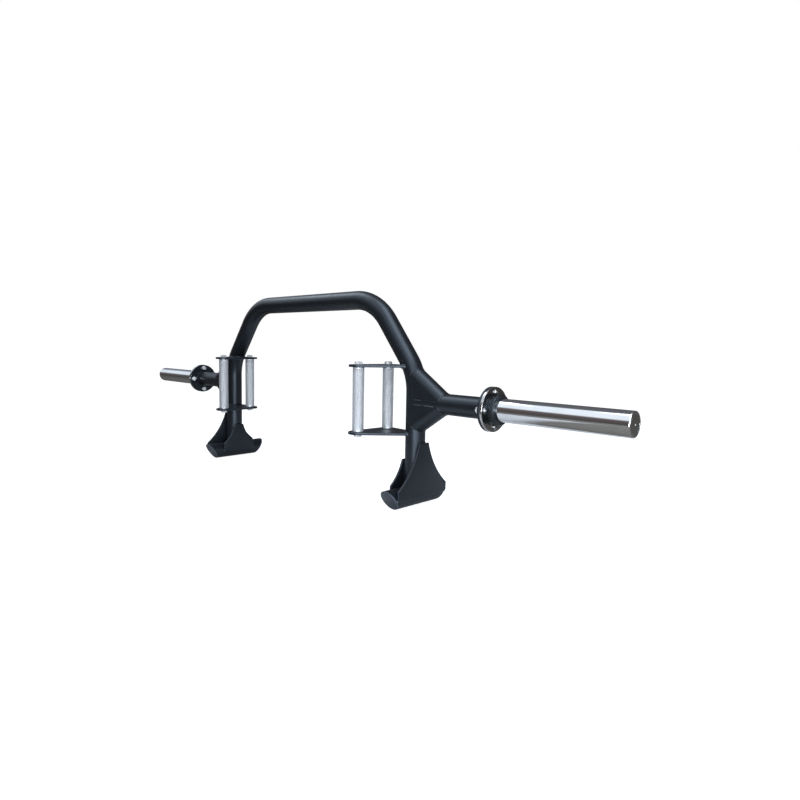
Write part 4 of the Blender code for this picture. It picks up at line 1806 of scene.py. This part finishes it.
@dataclass
class Foot(SideAssembly):
    """The foot bar of a side with its end caps, cheek plates and welds."""

    radius: float = 0.02415
    top_length: float = 0.203
    bottom_length: float = 0.143
    sides: int = 72
    bar_rounding: float = 0.0004
    cap_thickness: float = 0.003
    cap_rounding: float = 0.0013
    rim_angle: float = 25.0
    cut_distance: float = 0.000001
    cheek_thickness: float = 0.005
    cheek_rounding: float = 0.0009
    cheek_rim_steps: int = 3
    corner_cut: float = 0.005
    flare_points: int = 19
    cheeks: tuple[Cheek, ...] = (
        Cheek("outer", 1, 0.153, 0.048, 0.085, 0.0165, 0.197),
        Cheek("inner", -1, 0.109, 0.049, 0.055, 0.0155, 0.118),
    )
    bead: WeldBead = WeldBead(0.0024)
    leg_seam_inset: float = 0.0002
    leg_seam_top: float = 0.12
    top_seam_share: float = 0.72
    top_seam_lift: float = 0.0004
    top_seam_points: int = 13
    fine_bead: WeldBead = WeldBead(0.0016)
    groove_inset: float = 0.0016
    groove_off: float = 0.0108
    groove_start: float = 0.026
    groove_foot: float = 0.003
    groove_stop: float = 0.002
    tack_bead: WeldBead = WeldBead(0.0026)
    tack_inset: float = 0.0012
    tack_lift: float = 0.0016
    tack_reach: tuple[float, float] = (-0.0006, 0.0036)

    def build(self) -> list[Piece]:
        """Build the foot bar, its caps, cheeks and welds."""
        return [self.bar(), *self.caps(), *self.cheek_plates(), self.welds(), self.tacks()]

    def axis(self) -> list[Vector]:
        """Give two points of the bar's axis, beyond its ends."""
        return [self.at(self.lines.leg_x, y, self.radius) for y in (-self.top_length, self.top_length)]

    def end_plane(self, outward: int, depth: float) -> tuple[Vector, Vector]:
        """Give the plane of a slanted end, or one behind it.

        Args:
            outward: The end, as the sign of Y.
            depth: How far the plane lies behind the end's outer face.

        Returns:
            A point of the plane and its outward direction.
        """
        lean = math.atan2((self.top_length - self.bottom_length) / 2, 2 * self.radius)
        normal = Vector((0.0, outward * math.cos(lean), -math.sin(lean)))
        middle = (self.top_length + self.bottom_length) / 4
        return self.at(self.lines.leg_x, outward * middle, self.radius) - normal * depth, normal

    def slab(self, work: Workpiece, cuts: Sequence[tuple[Vector, Vector]], rounding: float) -> None:
        """Add a piece of the foot's round bar between two planes, its rims rounded.

        Args:
            work: The workpiece.
            cuts: A point and an outward direction for each plane.
            rounding: Radius of the rims.
        """
        shape = work.shape
        work.rod(self.radius, *self.axis(), self.sides)
        for point, normal in cuts:
            made = bmesh.ops.bisect_plane(
                shape,
                geom=work.geometry,
                dist=self.cut_distance,
                plane_co=point,
                plane_no=normal,
                clear_outer=True,
            )
            rim = [item for item in made["geom_cut"] if isinstance(item, Edge)]
            bmesh.ops.contextual_create(shape, geom=rim)
        shape.normal_update()
        sharp = math.radians(self.rim_angle)
        rims = [edge for edge in shape.edges if edge.is_manifold and edge.calc_face_angle(0.0) > sharp]
        work.round_edges(rims, rounding)

    def bar(self) -> Piece:
        """Build the foot bar without its caps.

        Returns:
            The piece.
        """
        work, depth = Workpiece(), self.cap_thickness + self.lines.gap
        self.slab(work, [self.end_plane(outward, depth) for outward in ENDS.values()], self.bar_rounding)
        return self.dress(work, "foot_pipe", COAT, "foot_bar")

    def caps(self) -> list[Piece]:
        """Build the plates that close the slanted ends.

        Returns:
            The pieces.
        """
        made = []
        for end, outward in ENDS.items():
            work, (face, normal) = Workpiece(), self.end_plane(outward, 0.0)
            back, _ = self.end_plane(outward, self.cap_thickness)
            self.slab(work, [(face, normal), (back, -normal)], self.cap_rounding)
            # The caps get the coat with the painted reflection and the painted rim highlight.
            made.append(self.dress(work, f"foot_end_{end}", CAP_COAT_WITH_PAINTED_LIGHT, f"foot_cap_{end}"))
        return made

    def cheek_outline(self, cheek: Cheek) -> list[tuple[float, float, float]]:
        """Give the outline of a cheek plate, with Y across as its X, and Z up as its Y.

        Args:
            cheek: Its sizes.

        Returns:
            Its corners, anticlockwise.
        """
        top, low = Vector((cheek.half_top, cheek.height)), Vector((cheek.half_length, cheek.shoulder))
        chord = low - top
        to_centre = math.sqrt(cheek.flare**2 - (chord.length / 2) ** 2)
        centre = (top + low) / 2 + Vector((-chord.y, chord.x)).normalized() * to_centre
        start = math.atan2(top.y - centre.y, top.x - centre.x) % math.tau
        end = math.atan2(low.y - centre.y, low.x - centre.x) % math.tau
        turns = steps_between(start, end, self.flare_points)
        right = [(centre.x + cheek.flare * math.cos(a), centre.y + cheek.flare * math.sin(a)) for a in turns]
        cut = self.corner_cut
        right += [(cheek.half_length, self.radius + cut), (cheek.half_length - cut, self.radius)]
        return [(-y, z, 0.0) for y, z in right] + [(y, z, 0.0) for y, z in reversed(right)]

    def cheek_plates(self) -> list[Piece]:
        """Build the outer and the inner cheek plate.

        Returns:
            The pieces.
        """
        made = []
        offset = self.radius + self.lines.gap + self.cheek_thickness / 2
        upright = Matrix(((0, 0, 1, 0), (1, 0, 0, 0), (0, 1, 0, 0), (0, 0, 0, 1)))
        half = UP * (self.cheek_thickness / 2)
        for cheek in self.cheeks:
            work = Workpiece()
            low, high = work.plate(self.cheek_outline(cheek), -half, half)
            rims = work.edges_among(low) + work.edges_among(high)
            work.round_edges(rims, self.cheek_rounding, self.cheek_rim_steps)
            place = Matrix.Translation(self.at(self.lines.leg_x + cheek.away * offset, 0.0, 0.0)) @ upright
            bmesh.ops.transform(work.shape, matrix=place, verts=work.shape.verts[:])
            made.append(self.dress(work, f"{cheek.name}_cheek_plate", COAT, f"{cheek.name}_cheek"))
        return made

    def welds(self) -> Piece:
        """Build the welds between leg, foot bar and cheeks.

        Returns:
            The piece.
        """
        lines, work = self.lines, Workpiece()
        leg_ends = [self.at(lines.leg_x, 0.0, z) for z in (self.radius, self.leg_seam_top)]
        leg = Pipe(tuple(leg_ends), lines.tube_radius - self.leg_seam_inset)
        seam = leg.outline_on(Pipe(tuple(self.axis()), self.radius))
        self.bead.lay(work, [point for point in seam[:-1] if point], closed=True)
        on_bar = self.radius + self.groove_off
        for cheek in self.cheeks:
            x = lines.leg_x + cheek.away * (lines.tube_radius - self.groove_inset)
            heights = (cheek.shoulder + self.groove_foot, cheek.height - self.groove_stop)
            reaches = (self.groove_start, cheek.half_length - self.groove_stop)
            for end in (-1, 1):
                self.fine_bead.lay(work, [self.at(x, end * self.groove_off, z) for z in heights])
                self.fine_bead.lay(work, [self.at(x, end * y, on_bar) for y in reaches])
            half, top = cheek.half_top * self.top_seam_share, cheek.height + self.top_seam_lift
            over = []
            for y in steps_between(-half, half, self.top_seam_points):
                off_leg = math.sqrt(lines.tube_radius**2 - y * y)
                over.append(self.at(lines.leg_x + cheek.away * off_leg, y, top))
            self.bead.lay(work, over)
        return self.dress(work, "foot_welds", WELD_COAT, crease=WELD_CREASE)

    def tacks(self) -> Piece:
        """Build the short welds at the lower corners of the cheeks, glossy and lightened as a painted
        highlight.

        Returns:
            The piece.
        """
        work, height = Workpiece(), self.radius + self.tack_lift
        for cheek in self.cheeks:
            spots = [self.lines.leg_x + cheek.away * (self.radius + reach) for reach in self.tack_reach]
            for end in (-1, 1):
                y = end * (cheek.half_length - self.tack_inset)
                self.tack_bead.lay(work, [self.at(x, y, height) for x in spots])
        return self.dress(work, "foot_tacks", TACK_COAT_WITH_PAINTED_HIGHLIGHT, crease=WELD_CREASE)


# The studio


@dataclass
class Lamp:
    """A soft rectangular lamp."""

    name: str
    place: Colour
    aim: Colour
    size: tuple[float, float]
    brightness: float
    colour: Colour = (0.85, 0.925, 1.0)

    def build(self) -> None:
        """Build the lamp, unseen by the camera."""
        data = bpy.data.lights.new(self.name, "AREA")
        data.shape = "RECTANGLE"
        data.size, data.size_y = self.size
        data.energy = self.brightness * self.size[0] * self.size[1] * math.pi
        data.color = self.colour
        made = put_in_scene(self.name, data)
        made.matrix_world = stand_at(Vector(self.place), Vector(self.place) - Vector(self.aim))
        made.visible_camera = False


GROUND = (-1.00, (0.30, 0.29, 0.28))
DARK_WALL = ((0.00, (0.105, 0.092, 0.090)), (0.10, (0.084, 0.070, 0.070)), (0.22, (0.105, 0.088, 0.088)))


@dataclass
class Studio:
    """Floor, room light, lamps and camera."""

    middle_y: float
    room_light: float = 0.30
    room_colour: Colour = (0.93, 0.965, 1.0)
    front_wall: Stops = (
        GROUND,
        *DARK_WALL,
        (0.42, (0.150, 0.126, 0.128)),
        (0.56, (0.95, 1.03, 1.12)),
        (1.00, (0.98, 1.06, 1.15)),
    )
    back_wall: Stops = (GROUND, *DARK_WALL, (0.50, (0.11, 0.11, 0.12)), (1.00, (0.14, 0.15, 0.17)))
    left_front: Stops = (
        (0.10, (0.10, 0.09, 0.09)),
        (0.20, (0.16, 0.15, 0.15)),
        (0.29, (0.84, 0.92, 1.00)),
        (1.00, (0.88, 0.96, 1.05)),
    )
    left_back: Stops = ((0.06, (0.05, 0.05, 0.055)), (0.34, (0.22, 0.25, 0.30)), (1.00, (0.46, 0.50, 0.56)))
    sheet_colour: Colour = (0.66, 0.67, 0.69)
    boards_colour: Colour = (0.200, 0.186, 0.170)
    corner_colour: Colour = (0.045, 0.048, 0.052)
    sheet_right_edge: float = 0.57
    sheet_left_edge: float = -0.42
    sheet_front_edge: float = -0.55
    floor_size: float = 14.0
    floor_lift: float = 0.84
    camera_place: Colour = (1.333825, -1.020431, 0.381342)
    azimuth: float = 43.669
    pitch: float = 5.337
    roll: float = 1.139
    lens: float = 26.023
    lamps: tuple[Lamp, ...] = (
        Lamp("overhead_right", (0.98, -0.45, 2.10), (0.60, -0.10, 0.30), (1.1, 2.0), 3.2),
        Lamp("overhead_left", (-1.08, -0.18, 2.05), (0.00, 0.00, 0.30), (0.7, 1.2), 3.6),
        Lamp("left_window", (-1.80, -0.10, 1.75), (0.00, 0.00, 0.50), (0.6, 0.7), 1.6),
        Lamp("tall_window", (1.20, -1.84, 0.98), (0.30, 0.00, 0.50), (0.55, 1.9), 2.4),
        Lamp("low_window", (1.24, -1.29, 0.24), (0.41, 0.00, 0.15), (0.5, 0.44), 16.5),
        Lamp("low_window_right", (2.10, -0.95, 0.42), (-0.41, 0.00, 0.20), (0.5, 0.80), 15.0),
        Lamp("right_window", (2.50, 0.10, 0.60), (-0.41, 0.00, 0.25), (0.7, 0.8), 3.8),
    )

    def build(self) -> None:
        """Build everything around the bar."""
        self.camera()
        self.world()
        self.floor()
        for lamp in self.lamps:
            lamp.build()
        bpy.context.scene.view_settings.view_transform = "Standard"

    def camera(self) -> None:
        """Put the camera where the photograph was taken."""
        data = bpy.data.cameras.new("camera")
        data.sensor_width = 36.0
        data.sensor_fit = "HORIZONTAL"
        data.lens = self.lens
        data.clip_start, data.clip_end = 0.02, 60.0
        made = put_in_scene("camera", data)
        turn = Matrix.Identity(4)
        for angle, axis in ((self.azimuth, "Z"), (90.0 - self.pitch, "X"), (self.roll, "Z")):
            turn = turn @ Matrix.Rotation(math.radians(angle), 4, axis)
        place = Vector(self.camera_place) + Vector((0.0, self.middle_y, 0.0))
        made.matrix_world = Matrix.Translation(place) @ turn
        bpy.context.scene.camera = made

    def world(self) -> None:
        """Make the room: white behind the bar, and banded as a room with a bright ceiling for gloss."""
        world = bpy.data.worlds.new("room")
        bpy.context.scene.world = world
        world.use_nodes = True
        world.cycles.sampling_method = "NONE"
        world.node_tree.nodes.clear()
        sheet = NodeSheet(world.node_tree)
        way = sheet.add("ShaderNodeSeparateXYZ", {0: sheet.add("ShaderNodeTexCoord").outputs["Generated"]})
        height = sheet.spread(way.outputs["Z"], -1.0, 1.0)
        walls = (self.front_wall, self.back_wall, self.left_front, self.left_back)
        front, back, left_front, left_back = (self.ramp(sheet, height, stops) for stops in walls)
        backwards = sheet.spread(way.outputs["Y"], -0.02, 0.12)
        room = sheet.blend(backwards, front, back)
        left = sheet.blend(backwards, left_front, left_back)
        room = sheet.blend(sheet.spread(way.outputs["X"], -0.62, -0.78), room, left)
        lights = ((self.room_colour, self.room_light), (room, 1.0), (WHITE, 1.0))
        plain, glossy, white = (
            sheet.add("ShaderNodeBackground", {"Color": colour, "Strength": strength}).outputs[0]
            for colour, strength in lights
        )
        rays = sheet.add("ShaderNodeLightPath").outputs
        mixed = sheet.add("ShaderNodeMixShader", {0: rays["Is Glossy Ray"], 1: plain, 2: glossy}).outputs[0]
        seen = sheet.math("MAXIMUM", rays["Is Camera Ray"], rays["Is Transmission Ray"])
        all_rays = sheet.add("ShaderNodeMixShader", {0: seen, 1: mixed, 2: white}).outputs[0]
        sheet.add("ShaderNodeOutputWorld", {"Surface": all_rays})

    @staticmethod
    def ramp(sheet: NodeSheet, value: Socket, stops: Stops) -> Socket:
        """Colour the heights of the room.

        Args:
            sheet: The world's nodes.
            value: Height of a direction, from 0 straight down to 1 straight up.
            stops: Colour by height, from -1 straight down to 1 straight up.

        Returns:
            The colour.
        """
        node = sheet.add("ShaderNodeValToRGB", {"Fac": value})
        elements = node.color_ramp.elements
        elements.remove(elements[-1])
        for index, (height, colour) in enumerate(stops):
            position = height / 2 + 0.5
            element = elements.new(position) if index else elements[0]
            element.position, element.color = position, (*colour, 1.0)
        return node.outputs["Color"]

    def floor(self) -> None:
        """Lay the pale floor, lifted to white for the camera but still shaded under the bar.

        In gloss it is a white sheet on darker boards, as it is in the photograph's chrome.
        """
        work = bmesh.new()
        bmesh.ops.create_grid(work, x_segments=8, y_segments=8, size=self.floor_size)
        mesh = bpy.data.meshes.new("floor")
        work.to_mesh(mesh)
        work.free()
        made = put_in_scene("floor", mesh)
        made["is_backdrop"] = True
        material = bpy.data.materials.new("pale_floor")
        on = Surface(material)
        rays = on.add("ShaderNodeLightPath").outputs
        place = on.add("ShaderNodeSeparateXYZ", {0: on.place}).outputs
        across = on.math("SUBTRACT", place["X"], on.spread(place["Y"], 0.05, 0.35, 0.0, 0.6))
        right, left, front = self.sheet_right_edge, self.sheet_left_edge, self.sheet_front_edge
        beyond = on.spread(across, right - 0.03, right + 0.05)
        boards = on.math("MAXIMUM", beyond, on.spread(place["X"], left, left - 0.2))
        boards = on.math("MAXIMUM", boards, on.spread(place["Y"], front + 0.06, front - 0.1))
        boards = on.math("MULTIPLY", boards, rays["Is Glossy Ray"])
        corner = on.math("MULTIPLY", on.spread(place["X"], -1.0, -2.0), on.spread(place["Y"], 0.2, 0.6))
        corner = on.math("MULTIPLY", corner, rays["Is Glossy Ray"])
        colour = on.blend(corner, on.blend(boards, self.sheet_colour, self.boards_colour), self.corner_colour)
        seen = on.math("MAXIMUM", rays["Is Camera Ray"], rays["Is Transmission Ray"])
        lift = on.math("MULTIPLY", seen, self.floor_lift)
        on.shade({"Roughness": 0.9, "Specular IOR Level": 0.0, "Base Color": colour})
        on.shade({"Emission Color": WHITE, "Emission Strength": lift})
        mesh.materials.append(material)


def write_sizes() -> None:
    boxes = {"cad": CAD_BOX, "visual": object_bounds()}
    plain = {name: [list(corner) for corner in box] for name, box in boxes.items()}


def main() -> None:
    """Build the bar, sub-assembly by sub-assembly, and the studio round it."""
    logging.basicConfig(level=logging.INFO, format="%(message)s")
    low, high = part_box("arch_tube")
    lines = FrameLines(middle_y=(low.y + high.y) / 2)
    Studio(lines.middle_y).build()
    assemblies: list[Arch | SideAssembly] = [Arch(lines)]
    for side in Side:
        assemblies += [part(lines, side) for part in (SideArm, FlangePair, LoadingSleeve, GripStation, Foot)]
    for assembly in assemblies:
        for piece in assembly.build():
            log.info("%s: %d faces", piece.name, len(piece.data.polygons))
    write_sizes()


if __name__ == "__main__":
    main()
